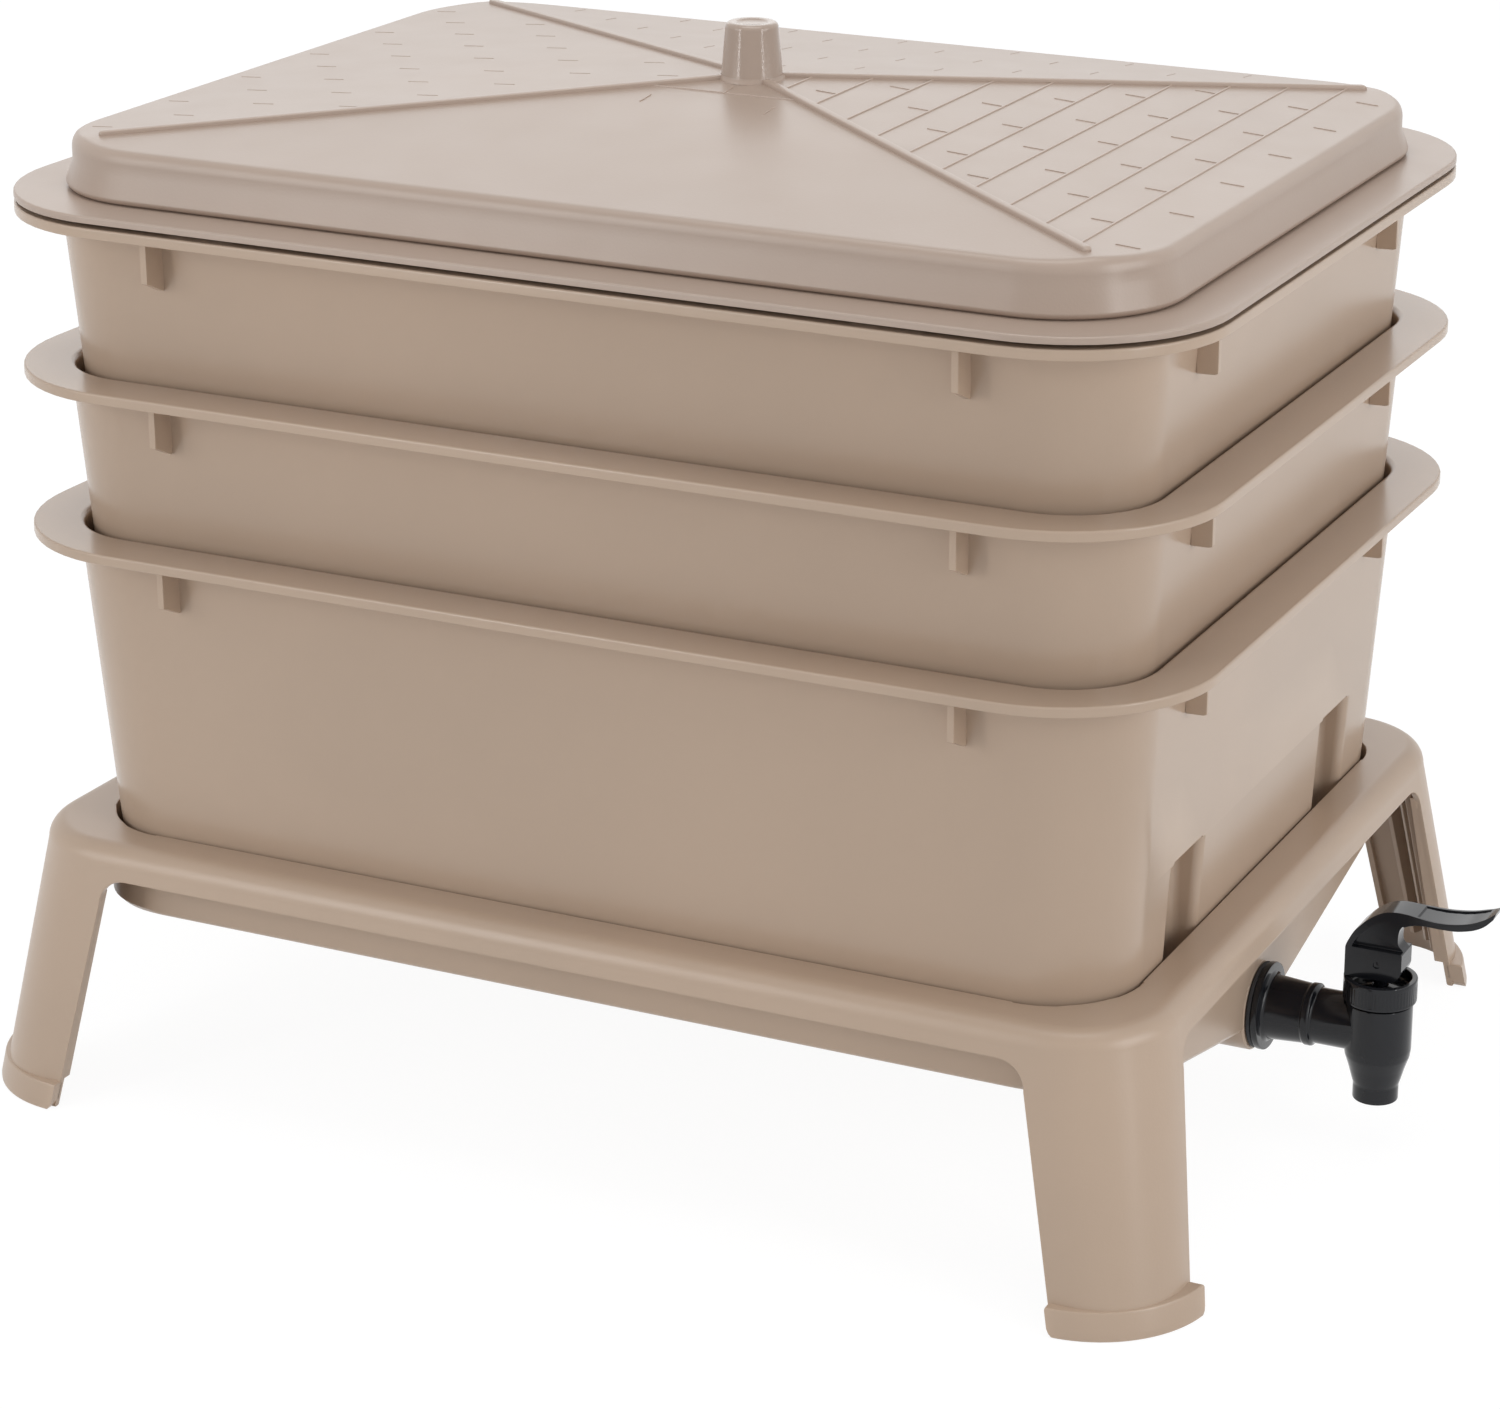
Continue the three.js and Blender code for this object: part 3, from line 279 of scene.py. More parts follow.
class WormerySettings(bpy.types.PropertyGroup):
    """Everything that a user of the wormery may change."""
    rim: PointerProperty(type=WormeryRimSettings)
    tray: PointerProperty(type=WormeryTraySettings)
    stand: PointerProperty(type=WormeryStandSettings)
    lid: PointerProperty(type=WormeryLidSettings)
    tap: PointerProperty(type=WormeryTapSettings)
    finish: PointerProperty(type=WormeryFinishSettings)
    stage: PointerProperty(type=WormeryStageSettings)


# Outlines and rows of points

CORNERS = ((1, 1), (-1, 1), (-1, -1), (1, -1))
CORNER_STEPS = 14
CORNER_MIDDLE = CORNER_STEPS // 2


def corner_arcs(half_long, half_short, radius):
    """The four rounded corners of a rectangle, anticlockwise, each a list of points in plan."""
    arcs = []
    for quarter, (sx, sy) in enumerate(CORNERS):
        middle = Vector((sx * (half_long - radius), sy * (half_short - radius)))
        angles = [pi / 2 * (quarter + step / CORNER_STEPS) for step in range(CORNER_STEPS + 1)]
        arcs.append([middle + radius * Vector((cos(a), sin(a))) for a in angles])
    return arcs


def filleted(path, radius, steps=3):
    """The inner points of an open path of right angles, each turned into a small arc."""
    rounded = []
    for before, corner, after in zip(path, path[1:], path[2:]):
        back, onward = (before - corner).normalized(), (after - corner).normalized()
        for step in range(steps + 1):
            angle = pi / 2 * step / steps
            rounded.append(corner + radius * (back * (1 - sin(angle)) + onward * (1 - cos(angle))))
    return rounded


def quarter_turn(radius, steps=4):
    """Steps of a quarter round: pairs of how far in and how far down, from the side to the top."""
    angles = [pi / 2 * step / steps for step in range(steps + 1)]
    return [(radius * (1 - cos(a)), radius * (1 - sin(a))) for a in angles]


def blended(row, other, part):
    return [a.lerp(b, part) for a, b in zip(row, other)]


def drawn_towards(row, other, distance):
    """The row moved by a set distance, point by point, towards another row."""
    return [a + (b - a).normalized() * min(distance, (b - a).length) for a, b in zip(row, other)]


def flowing(points, steps=4):
    """A smooth curve through a list of points in a plane, with a few more points between each two."""
    knots = [Vector(p) for p in points]
    curve = []
    for index, (start, end) in enumerate(zip(knots, knots[1:])):
        leave = (end - knots[max(index - 1, 0)]) / 2
        arrive = (knots[min(index + 2, len(knots) - 1)] - start) / 2
        for step in range(steps):
            t = step / steps
            spot = start * (2 * t ** 3 - 3 * t ** 2 + 1) + end * (3 * t ** 2 - 2 * t ** 3)
            curve.append(tuple(spot + leave * (t ** 3 - 2 * t ** 2 + t) + arrive * (t ** 3 - t ** 2)))
    return curve + [tuple(knots[-1])]


def rod(radius, low, high):
    """The profile of a plain cylinder, as pairs of radius and height."""
    return [(0, low), (radius, low), (radius, high), (0, high)]


# Mesh work

TURN_STEPS = 72
SPIN_WELD = 0.000002
SHELL_WELD = 0.00001
SHORTEST_EDGE = 0.000005


def of_kind(items, kind):
    return [item for item in items if isinstance(item, kind)]


def distinct(items):
    """The items without repeats, in the order in which they first come."""
    return list(dict.fromkeys(items))


def place_ring(ring, row):
    for vert, place in zip(ring, row):
        vert.co = place


def loft(bm, rows):
    """Pulls a closed ring of edges through rows of points, and returns its first and last rings."""
    circle = bmesh.ops.create_circle(bm, segments=len(rows[0]), radius=1.0)["verts"]
    first = sorted(circle, key=lambda vert: atan2(vert.co.y, vert.co.x))
    place_ring(first, rows[0])
    ring, edges = first, distinct(edge for vert in first for edge in vert.link_edges)
    for row in rows[1:]:
        pulled = bmesh.ops.extrude_edge_only(bm, edges=edges)["geom"]
        fresh = set(of_kind(pulled, bmesh.types.BMVert))
        partner = {edge.other_vert(vert): vert for vert in fresh for edge in vert.link_edges
                   if edge.other_vert(vert) not in fresh}
        ring = [partner[vert] for vert in ring]
        edges = [edge for edge in of_kind(pulled, bmesh.types.BMEdge)
                 if edge.verts[0] in fresh and edge.verts[1] in fresh]
        place_ring(ring, row)
    return first, ring


def ring_edges(ring):
    held = set(ring)
    return [edge for edge in distinct(edge for vert in ring for edge in vert.link_edges)
            if edge.verts[0] in held and edge.verts[1] in held]


def close_ring(bm, ring):
    bmesh.ops.contextual_create(bm, geom=ring_edges(ring))


def closed_loft(bm, rows):
    """Lofts a body through rows of points, closes both ends and returns its vertices."""
    low, high = loft(bm, rows)
    close_ring(bm, low)
    close_ring(bm, high)
    return linked_verts(low)


def turned(bm, profile, place=Matrix.Identity(4), steps=TURN_STEPS):
    """Spins a profile of (radius, height) pairs about the Z axis, then places the result."""
    verts = [bm.verts.new((radius, 0.0, height)) for radius, height in profile]
    edges = [bm.edges.new(pair) for pair in zip(verts, verts[1:])]
    bmesh.ops.spin(bm, geom=verts + edges, cent=(0, 0, 0), axis=(0, 0, 1), dvec=(0, 0, 0),
                   angle=2 * pi, steps=steps, use_merge=True, use_duplicate=False)
    whole = linked_verts(verts)
    bmesh.ops.remove_doubles(bm, verts=whole, dist=SPIN_WELD)
    bmesh.ops.transform(bm, matrix=place, verts=[vert for vert in whole if vert.is_valid])


def linked_verts(start):
    """Every vertex that edges join to the given ones."""
    found, queue = dict.fromkeys(start), list(start)
    while queue:
        for edge in queue.pop().link_edges:
            for vert in edge.verts:
                if vert not in found:
                    found[vert] = None
                    queue.append(vert)
    return list(found)


def bevelled(bm, whole, rounding, segments=2):
    """Rounds all the edges of one body and returns its vertices."""
    edges = distinct(edge for vert in whole for edge in vert.link_edges)
    made = bmesh.ops.bevel(bm, geom=whole + edges, offset=rounding, offset_type="OFFSET", segments=segments,
                           profile=0.5, affect="EDGES", clamp_overlap=True, material=-1)
    return linked_verts(made["verts"][:1])


def plate(bm, outline, thickness, rounding, place=Matrix.Identity(4), segments=2):
    """A flat plate with an outline in XZ and a thickness along Y, with all its edges rounded."""
    verts = [bm.verts.new((x, -thickness / 2, z)) for x, z in outline]
    face = bm.faces.new(verts)
    pulled = bmesh.ops.extrude_face_region(bm, geom=[face])["geom"]
    bmesh.ops.translate(bm, vec=(0, thickness, 0), verts=of_kind(pulled, bmesh.types.BMVert))
    whole = linked_verts(verts)
    if rounding:
        whole = bevelled(bm, whole, rounding, segments)
    bmesh.ops.transform(bm, matrix=place, verts=whole)


def mirrored(bm, verts, axis):
    """Copies a piece of the mesh to the other side of the stack's middle."""
    faces = distinct(face for vert in verts for face in vert.link_faces)
    edges = distinct(edge for vert in verts for edge in vert.link_edges)
    copy = bmesh.ops.duplicate(bm, geom=verts + edges + faces)["geom"]
    fresh = of_kind(copy, bmesh.types.BMVert)
    flipped = Matrix.Diagonal((-1, 1, 1, 1) if axis == "X" else (1, -1, 1, 1))
    bmesh.ops.transform(bm, matrix=flipped, verts=fresh)
    bmesh.ops.reverse_faces(bm, faces=of_kind(copy, bmesh.types.BMFace))
    return fresh


def about_z(angle, shift):
    return Matrix.Translation(shift) @ Matrix.Rotation(angle, 4, "Z")


def clean_shell(bm):
    bmesh.ops.remove_doubles(bm, verts=bm.verts, dist=SHELL_WELD)
    bmesh.ops.dissolve_degenerate(bm, edges=bm.edges, dist=SHORTEST_EDGE)
    bmesh.ops.recalc_face_normals(bm, faces=bm.faces)


def move_to_stack(bm):
    """Moves what was made about the world's middle to the stack's middle."""
    bmesh.ops.transform(bm, matrix=Matrix.Translation((stack_axis(), 0.0, 0.0)), verts=bm.verts)


def opened(piece):
    bm = bmesh.new()
    bm.from_mesh(piece.data)
    return bm


def stored(bm, piece):
    bm.to_mesh(piece.data)
    bm.free()
    return piece


def new_object(bm, name):
    clean_shell(bm)
    piece = stored(bm, bpy.data.objects.new(name, bpy.data.meshes.new(name)))
    bpy.context.scene.collection.objects.link(piece)
    return piece


def turned_piece(name, profile, place, steps=TURN_STEPS):
    bm = bmesh.new()
    turned(bm, profile, place, steps)
    return new_object(bm, name)


def plate_piece(name, outline, thickness, rounding=0.0, place=Matrix.Identity(4)):
    bm = bmesh.new()
    plate(bm, outline, thickness, rounding, place)
    return new_object(bm, name)


def combined(piece, tool, operation):
    """Joins or cuts a piece with another one, and takes the other away."""
    step = piece.modifiers.new("Cut", "BOOLEAN")
    step.operation, step.object, step.solver = operation, tool, "MANIFOLD"
    bpy.context.view_layer.update()
    shaped = bpy.data.meshes.new_from_object(piece.evaluated_get(bpy.context.evaluated_depsgraph_get()))
    piece.modifiers.clear()
    old, piece.data = piece.data, shaped
    bpy.data.meshes.remove(old)
    bpy.data.objects.remove(tool)


def dress(piece, material, body, node, sharp=32):
    """Shades a finished piece, gives it its material, and hangs it on its body in place of its plain solid."""
    mesh = piece.data
    mesh.shade_smooth()
    mesh.set_sharp_from_angle(angle=radians(sharp))
    mesh.materials.clear()
    mesh.materials.append(material)
    weighted = piece.modifiers.new("Even shading", "WEIGHTED_NORMAL")
    weighted.keep_sharp = True
    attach(piece, body)
    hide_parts(node)


# Finishes

WHITE = (1.0, 1.0, 1.0, 1.0)
PLASTIC_IOR = 1.49
FLOW_MARKS = {"Scale": 5.5, "Detail": 3.0, "Distortion": 0.6}
FLOW_BAND = (0.30, 0.70)
FLOW_WARMTH = (1.0, 0.85, 0.75)
HAZE = {"Scale": 38.0, "Detail": 4.0}
HAZE_SPREAD = (0.86, 1.16)
GRAIN = {"Scale": 900.0, "Detail": 2.0}
GRAIN_DEPTH = 0.0002
# Painted highlight along convex edges: the pointiness range that it covers, and how much it lightens the colour
EDGE_HIGHLIGHT_RANGE = {"From Min": 0.52, "From Max": 0.60, "To Max": 0.35}
EDGE_HIGHLIGHT_GAIN, EDGE_HIGHLIGHT_LIFT = 1.22, 0.01
POLISH_GAIN, POLISH_BAND = 0.42, 0.002
POLISHED_KNOB = 0.0225


def set_up(tree, node, values=(), wires=()):
    """Gives a shader node's inputs their values, and wires other nodes' outputs to them."""
    for socket, value in dict(values).items():
        node.inputs[socket].default_value = value
    for socket, output in dict(wires).items():
        tree.links.new(output, node.inputs[socket])
    return node


def add_node(tree, kind, values=(), wires=(), **choices):
    node = tree.nodes.new("ShaderNode" + kind)
    for key, choice in choices.items():
        setattr(node, key, choice)
    return set_up(tree, node, values, wires)


def new_material(name):
    material = bpy.data.materials.new(name)
    material.use_nodes = True
    return material, material.node_tree, material.node_tree.nodes["Principled BSDF"]


def plastic(name, base, roughness, mottle, grain, shine, polished=None):
    """Moulded plastic: faint flow marks, a fine grain, a painted highlight that lightens the convex edges, and
    smoother above a height.
    """
    material, tree, shader = new_material(name)
    place = add_node(tree, "TexCoord").outputs["Object"]

    def noise(values):
        return add_node(tree, "TexNoise", values, {"Vector": place}).outputs["Fac"]

    def tone(shares):
        return (*[min(1.0, channel * part) for channel, part in zip(base, shares)], 1.0)
    tint = add_node(tree, "ValToRGB", wires={"Fac": noise(FLOW_MARKS)})
    shares = [1 - mottle] * 3, [1 + mottle * warm for warm in FLOW_WARMTH]
    for stop, position, part in zip(tint.color_ramp.elements, FLOW_BAND, shares):
        stop.position, stop.color = position, tone(part)
    # Painted highlight: convex edges, found by their pointiness, are mixed towards a paler tone in place of a
    # highlight from the lamps
    edges = add_node(tree, "NewGeometry").outputs["Pointiness"]
    painted_edge_highlight = add_node(tree, "MapRange", EDGE_HIGHLIGHT_RANGE, {"Value": edges})
    highlight_tone = (*[min(1.0, channel * EDGE_HIGHLIGHT_GAIN + EDGE_HIGHLIGHT_LIFT) for channel in base[:3]], 1.0)
    tone_with_highlight = add_node(tree, "Mix", {"B": highlight_tone}, {"Factor": painted_edge_highlight.outputs["Result"], "A": tint.outputs["Color"]},
                    data_type="RGBA")

    smooth, rough = (roughness * part for part in HAZE_SPREAD)
    sheen = add_node(tree, "MapRange", {"To Min": smooth, "To Max": min(1.0, rough)}, {"Value": noise(HAZE)})
    sheen = sheen.outputs["Result"]
    if polished:
        level = add_node(tree, "SeparateXYZ", wires={"Vector": place}).outputs["Z"]
        band = {"From Min": polished, "From Max": polished + POLISH_BAND, "To Min": 1.0, "To Max": POLISH_GAIN}
        smoother = add_node(tree, "MapRange", band, {"Value": level}).outputs["Result"]
        sheen = add_node(tree, "Math", wires={0: sheen, 1: smoother}, operation="MULTIPLY").outputs["Value"]
    relief = add_node(tree, "Bump", {"Strength": grain, "Distance": GRAIN_DEPTH}, {"Height": noise(GRAIN)})
    set_up(tree, shader, {"IOR": PLASTIC_IOR, "Specular IOR Level": shine},
           {"Base Color": tone_with_highlight.outputs["Result"], "Roughness": sheen, "Normal": relief.outputs["Normal"]})
    return material


def finish_named(name):
    """Finds a finish, or mixes it when a piece first asks for it."""
    if name in bpy.data.materials:
        return bpy.data.materials[name]
    mix = bpy.context.scene.wormery.finish
    # Colour, roughness, strength of the flow marks and of the grain, shine, and the height that gloss begins at
    recipes = {
        "Taupe tray plastic": (mix.taupe, mix.satin, 0.035, 0.10, 0.5),
        "Taupe stand plastic": (mix.taupe, mix.satin * 1.4, 0.04, 0.16, 0.5),
        "Taupe lid plastic": (mix.lid_taupe, mix.matt, 0.03, 0.22, 0.5, cad_bounds[1][2] - POLISHED_KNOB),
        "Black tap plastic": (mix.black, mix.gloss, 0.12, 0.05, 0.36),
        "Black gasket rubber": (mix.rubber, 0.62, 0.12, 0.30, 0.4),
        "Milky silicone": (mix.silicone, 0.45, 0.05, 0.12, 0.5),
    }
    return plastic(name, *recipes[name])


# Heights and places that the pieces share

def middle_of(node):
    """Middle of a plain solid's box."""
    low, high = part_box(node)
    return [(a + b) / 2 for a, b in zip(low, high)]


def stack_axis():
    """Where the stack's upright middle line lies along X."""
    return middle_of("upper_tray")[0]


def rim_height(settings, level):
    """Height of a tray's rim underside over the floor, counted from the lowest tray."""
    tray, stand = settings.tray, settings.stand
    return stand.height + tray.depth - stand.rest_drop + level * tray.pitch


def wall_reach(rim, z, offset=0.0):
    """Half length and half width of a tray's wall at a height measured from its rim."""
    draft = rim.wall_draft * min(z, 0.0) - rim.wall_inset - offset
    return rim.length / 2 + draft, rim.width / 2 + draft


def opening_reach(settings, out=0.0):
    """Half length and half width of the stand's opening."""
    tray, stand = settings.tray, settings.stand
    long, short = wall_reach(settings.rim, stand.rest_drop - tray.depth)
    return long + stand.clearance + out, short + stand.clearance + out


def sump_fall(stand, x, y, long, short):
    along = (x + long) / (2 * long)
    return (stand.fall_far + (stand.fall_tap - stand.fall_far) * along) * (1 - abs(y) / short)


# Trays

HOLE_STEPS = 20
HOOK_SHARE, HOOK_DROP = 0.82, 0.0006
FIN_ROUNDING = 0.0004


def tray_outline(long, short, radius, face, near, far, rounding):
    """A tray's outline in plan, with two recesses in each end that reach in to the given face."""
    upper = [Vector((long, 0.0)), Vector((long, near)), Vector((face, near)),
             Vector((face, far)), Vector((long, far)), Vector((long, short))]
    upper = filleted(upper, min(rounding, (long - face) / 2))
    end = [Vector((point.x, -point.y)) for point in reversed(upper)] + upper
    far_end = [-point for point in end]
    arcs = corner_arcs(long, short, radius)
    return end + arcs[0] + arcs[1] + far_end + arcs[2] + arcs[3]


def tray_wall_row(settings, z, offset, recessed):
    """One row of a tray's wall. Its recesses are pressed in by a share: none at nought, their full depth at one."""
    rim, tray = settings.rim, settings.tray
    long, short = wall_reach(rim, z, offset)
    ledge = tray.pitch - tray.depth - tray.seat_gap - rim.wall
    deepest = wall_reach(rim, ledge)[0] - tray.recess_depth - offset
    face = long + (deepest - long) * recessed
    plan = tray_outline(long, short, rim.wall_corner - offset, face, tray.recess_near - offset,
                        tray.recess_far + offset, tray.recess_turn)
    return [Vector((point.x, point.y, z)) for point in plan]


def tray_rim_row(settings, z, inset):
    rim, tray = settings.rim, settings.tray
    radius = rim.corner - inset * (rim.corner - rim.wall_corner) / rim.wall_inset
    long, short = rim.length / 2 - inset, rim.width / 2 - inset
    plan = tray_outline(long, short, radius, long, tray.recess_near, tray.recess_far, 0.0)
    return [Vector((point.x, point.y, z)) for point in plan]


def tray_rows(settings):
    """Rows over the whole section of a tray: up the inside, over the rim and down the outside."""
    rim, tray = settings.rim, settings.tray
    wall, foot = rim.wall, -tray.depth
    inside_ledge = tray.pitch - tray.depth - tray.seat_gap
    outside_ledge = inside_ledge - wall
    soft = tray.recess_edge
    top, inner, edge = rim.thickness, rim.inner_edge, rim.edge
    hollow = 0.6 * edge

    def walls(*places):
        return [tray_wall_row(settings, *place) for place in places]

    def rims(*places):
        return [tray_rim_row(settings, *place) for place in places]
    return [
        *walls(*((foot + wall + down, wall + away, 1) for away, down in reversed(quarter_turn(tray.floor_edge)))),
        *walls(*((inside_ledge - down, wall, 1 - away / tray.recess_depth) for away, down in quarter_turn(soft, 3))),
        *walls((inside_ledge, wall, soft / tray.recess_depth), (inside_ledge + soft, wall, 0),
               (inside_ledge / 2, wall, 0)),
        *rims(*((top - down, rim.wall_inset + wall - away) for away, down in quarter_turn(inner, 5))),
        *rims(*((top - down, away) for away, down in reversed(quarter_turn(edge)))),
        *rims(*((down, away) for away, down in quarter_turn(edge / 2, 3))),
        *rims((0.0, rim.wall_inset - 2 * edge)),
        *walls((-hollow, -hollow, 0), (-2 * edge, 0, 0), (outside_ledge / 2, 0, 0), (outside_ledge + soft, 0, 0)),
        *walls(*((outside_ledge + down, 0, away / tray.recess_depth) for away, down in quarter_turn(soft, 3)[1:])),
        *walls((outside_ledge, 0, 1 - soft / tray.recess_depth), (outside_ledge - soft, 0, 1),
               ((outside_ledge + foot) / 2, 0, 1)),
        *walls(*((foot + down, away, 1) for away, down in quarter_turn(tray.floor_edge))),
    ]


def drain_hole_places(settings):
    rim, tray = settings.rim, settings.tray
    long, short = wall_reach(rim, -tray.depth, tray.hole_margin)

    def spread(reach, pitch):
        gaps = floor(2 * reach / pitch)
        return [(step - gaps / 2) * pitch for step in range(gaps + 1)]
    return [(x, y) for x in spread(long, tray.hole_pitch_long) for y in spread(short, tray.hole_pitch_short)]


def drill_drain_holes(bm, settings, inner_ring, outer_ring):
    """Lofts each drain hole through the floor and fills the floor's two faces round them."""
    tray, wall = settings.tray, settings.rim.wall
    low, high, lip = -tray.depth, wall - tray.depth, tray.hole_lip
    above, below = ring_edges(inner_ring), ring_edges(outer_ring)
    section = [(tray.hole + lip, high), (tray.hole, high - lip), (tray.hole, low + lip), (tray.hole + lip, low)]
    turns = [2 * pi * step / HOLE_STEPS for step in range(HOLE_STEPS)]
    for x, y in drain_hole_places(settings):
        rows = [[Vector((x + r * cos(a), y + r * sin(a), z)) for a in turns] for r, z in section]
        upper, lower = loft(bm, rows)
        above += ring_edges(upper)
        below += ring_edges(lower)
    for edges in (above, below):
        bmesh.ops.triangle_fill(bm, edges=edges, use_beauty=True, use_dissolve=False, normal=(0, 0, 1))


def add_tray_fins(bm, settings):
    """Upright brackets under the rim, two to a side, each with a small hook at its tip."""
    rim, tray = settings.rim, settings.tray
    long, short = wall_reach(rim, 0.0)
    top, foot = rim.thickness / 2, -tray.fin_height
    for side in (-1, 1):
        on_end, on_side = (0, side * tray.fin_short, 0), (side * tray.fin_long, 0, 0)
        for angle, wall, reach, tip, place in (
                (0, long, tray.fin_end_reach, tray.fin_end_tip, on_end),
                (pi, long, tray.fin_end_reach, tray.fin_end_tip, on_end),
                (pi / 2, short, tray.fin_reach, tray.fin_tip, on_side),
                (-pi / 2, short, tray.fin_reach, tray.fin_tip, on_side)):
            hidden, out = wall - rim.wall / 2, wall + reach
            hook = (wall + (out - wall) * HOOK_SHARE, -tip - HOOK_DROP)
            outline = [(hidden, top), (hidden, foot), (wall, foot), hook, (out, -tip), (out, top)]
            plate(bm, outline, tray.fin, FIN_ROUNDING, about_z(angle, place))


class WORMERY_OT_trays(bpy.types.Operator):
    """Builds the three working trays with their rims, recesses, brackets and drain holes"""
    bl_idname = "wormery.trays"
    bl_label = "Trays"

    def execute(self, context):
        settings = context.scene.wormery
        for level, node in enumerate(("lower_tray", "middle_tray", "upper_tray")):
            bm = bmesh.new()
            inner_ring, outer_ring = loft(bm, tray_rows(settings))
            drill_drain_holes(bm, settings, inner_ring, outer_ring)
            add_tray_fins(bm, settings)
            lift = Matrix.Translation((stack_axis(), 0.0, rim_height(settings, level)))
            bmesh.ops.transform(bm, matrix=lift, verts=bm.verts)
            piece = new_object(bm, "moulded_" + node)
            dress(piece, finish_named("Taupe tray plastic"), node, node)
        return {"FINISHED"}


# Stand

# Shares of the way down the outside of a leg, and up its inside, that a row stands at
OUTER_LEG_ROWS = (0.12, 0.3, 0.55, 0.8)
INNER_LEG_ROWS = (0.3, 0.6, 0.9)
# Shares of the way across the hem of its two rounded rows
HEM_PARTS = (0.08, 0.92)
SUMP_SAG = 0.2
RIB_TURNS = (pi / 8, pi / 4, 3 * pi / 8)
RIB_TOP_INSET = 0.6
RIB_ROUNDING = 0.0005
LIP_ROUNDING = 0.0011
# Rows of a foot's lip up to where it is upright: height and inset in roundings, and its ends' inset
LIP_ROWS = ((0.0, 1.0, 0.0015), (0.4, 0.3, 0.0012), (1.6, 0.0, 0.0006))
GUIDE_ROUNDING = 0.0003
GUIDE_DROP = 0.001
BOSS_ROUNDING = 0.0008
BORE_OVERRUN = 0.001


def hem_stations(settings, half_side, flat_top, flat_foot, side_steps=6, fillet_steps=8):
    """Pairs of place along a side and height, from a side's middle, where the hem turns down into a leg."""
    stand = settings.stand
    foot_of_apron = stand.height - stand.apron
    edge_top = half_side - stand.ring_corner - flat_top
    edge_foot = half_side + stand.splay - stand.leg_corner - flat_foot
    start = edge_top - stand.fillet
    side = [(start * step / side_steps, foot_of_apron) for step in range(side_steps)]
    angles = [pi / 2 * step / fillet_steps for step in range(fillet_steps + 1)]
    turn = [(start + stand.fillet * sin(a), foot_of_apron - stand.fillet * (1 - cos(a))) for a in angles]
    return side + turn + [(edge_foot, 0.0)]


def ring_reach(settings, inset=0.0):
    stand = settings.stand
    long, short = opening_reach(settings)
    return long + stand.ring_end - inset, short + stand.ring_side - inset


def leg_stations(settings):
    stand = settings.stand
    long, short = ring_reach(settings)
    return (hem_stations(settings, long, stand.flat_long_top, stand.flat_long_foot),
            hem_stations(settings, short, stand.flat_short_top, stand.flat_short_foot))


def stand_row(settings, long, short, radius, height, notch=0.0):
    """One closed row of the stand, with a point for every station of its hem.

    A notch widens the flanks of its corners and leaves their middles where they are.
    """
    stand = settings.stand
    ring_long, ring_short = ring_reach(settings)
    long_stations, short_stations = leg_stations(settings)

    def spread(stations, straight, outer):
        even = [place * straight / outer for place, _ in stations[:-1]]
        return even + [straight if notch else (even[-1] + straight) / 2]
    xs = spread(long_stations, long - radius, ring_long - stand.ring_corner)
    ys = spread(short_stations, short - radius, ring_short - stand.ring_corner)
    row = []
    plain, stepped = corner_arcs(long, short, radius), corner_arcs(long + notch, short + notch, radius + notch)
    middle = slice(CORNER_MIDDLE - 2, CORNER_MIDDLE + 3)
    for quarter, ((sx, sy), plain_arc, arc) in enumerate(zip(CORNERS, plain, stepped)):
        arc[middle] = plain_arc[middle]
        sides = [Vector((sx * long, sy * y)) for y in ys]
        ends = [Vector((sx * x, sy * short)) for x in xs]
        before, after = (ends, sides) if quarter % 2 else (sides, ends)
        row += before + arc + after[::-1]
    return [Vector((point.x, point.y, height(point.x, point.y))) for point in row]


def leg_spread(stand, z):
    """How far a leg stands out from under the ring at a height."""
    shoulder = stand.height - stand.shoulder
    return stand.splay * (shoulder - z) / shoulder


def leg_radius(stand, z):
    shoulder = stand.height - stand.shoulder
    return stand.ring_corner + (stand.leg_corner - stand.ring_corner) * (shoulder - z) / shoulder


def hem_row(settings, offset):
    """The hem: level between the legs, and down to the floor round each corner."""
    stand = settings.stand
    ring_long, ring_short = ring_reach(settings)
    long_stations, short_stations = leg_stations(settings)
    sides = [(ring_long + leg_spread(stand, z) - offset, y, z) for y, z in short_stations]
    ends = [(x, ring_short + leg_spread(stand, z) - offset, z) for x, z in long_stations]
    out = leg_spread(stand, 0.0) - offset
    row = []
    arcs = corner_arcs(ring_long + out, ring_short + out, stand.leg_corner - offset)
    for quarter, ((sx, sy), arc) in enumerate(zip(CORNERS, arcs)):
        before, after = (ends, sides) if quarter % 2 else (sides, ends)
        row += [Vector((sx * x, sy * y, z)) for x, y, z in before]
        row += [Vector((point.x, point.y, 0.0)) for point in arc]
        row += [Vector((sx * x, sy * y, z)) for x, y, z in reversed(after)]
    return row


def sump_rows(settings, long, short, radius, rise):
    """The sump floor's edge, and its valley: the same row folded onto the middle line."""
    stand = settings.stand

    def level(x, y):
        return stand.height - stand.sump_depth + rise - sump_fall(stand, x, y, long, short)
    edge = stand_row(settings, long, short, radius, level)
    return edge, [Vector((point.x, 0.0, level(point.x, 0.0))) for point in edge]


def opening_row(settings, out, z, notch=0.0):
    long, short = opening_reach(settings, out)
    radius = settings.rim.wall_corner - settings.stand.corner_relief + out
    return stand_row(settings, long, short, radius, lambda x, y: z, notch)


def ring_row(settings, inset, z):
    long, short = ring_reach(settings, inset)
    return stand_row(settings, long, short, settings.stand.ring_corner - inset, lambda x, y: z)


def inner_sump(settings):
    stand = settings.stand
    long, short = opening_reach(settings, -stand.sump_draft)
    return sump_rows(settings, long, short, settings.rim.wall_corner - stand.corner_relief, stand.wall)


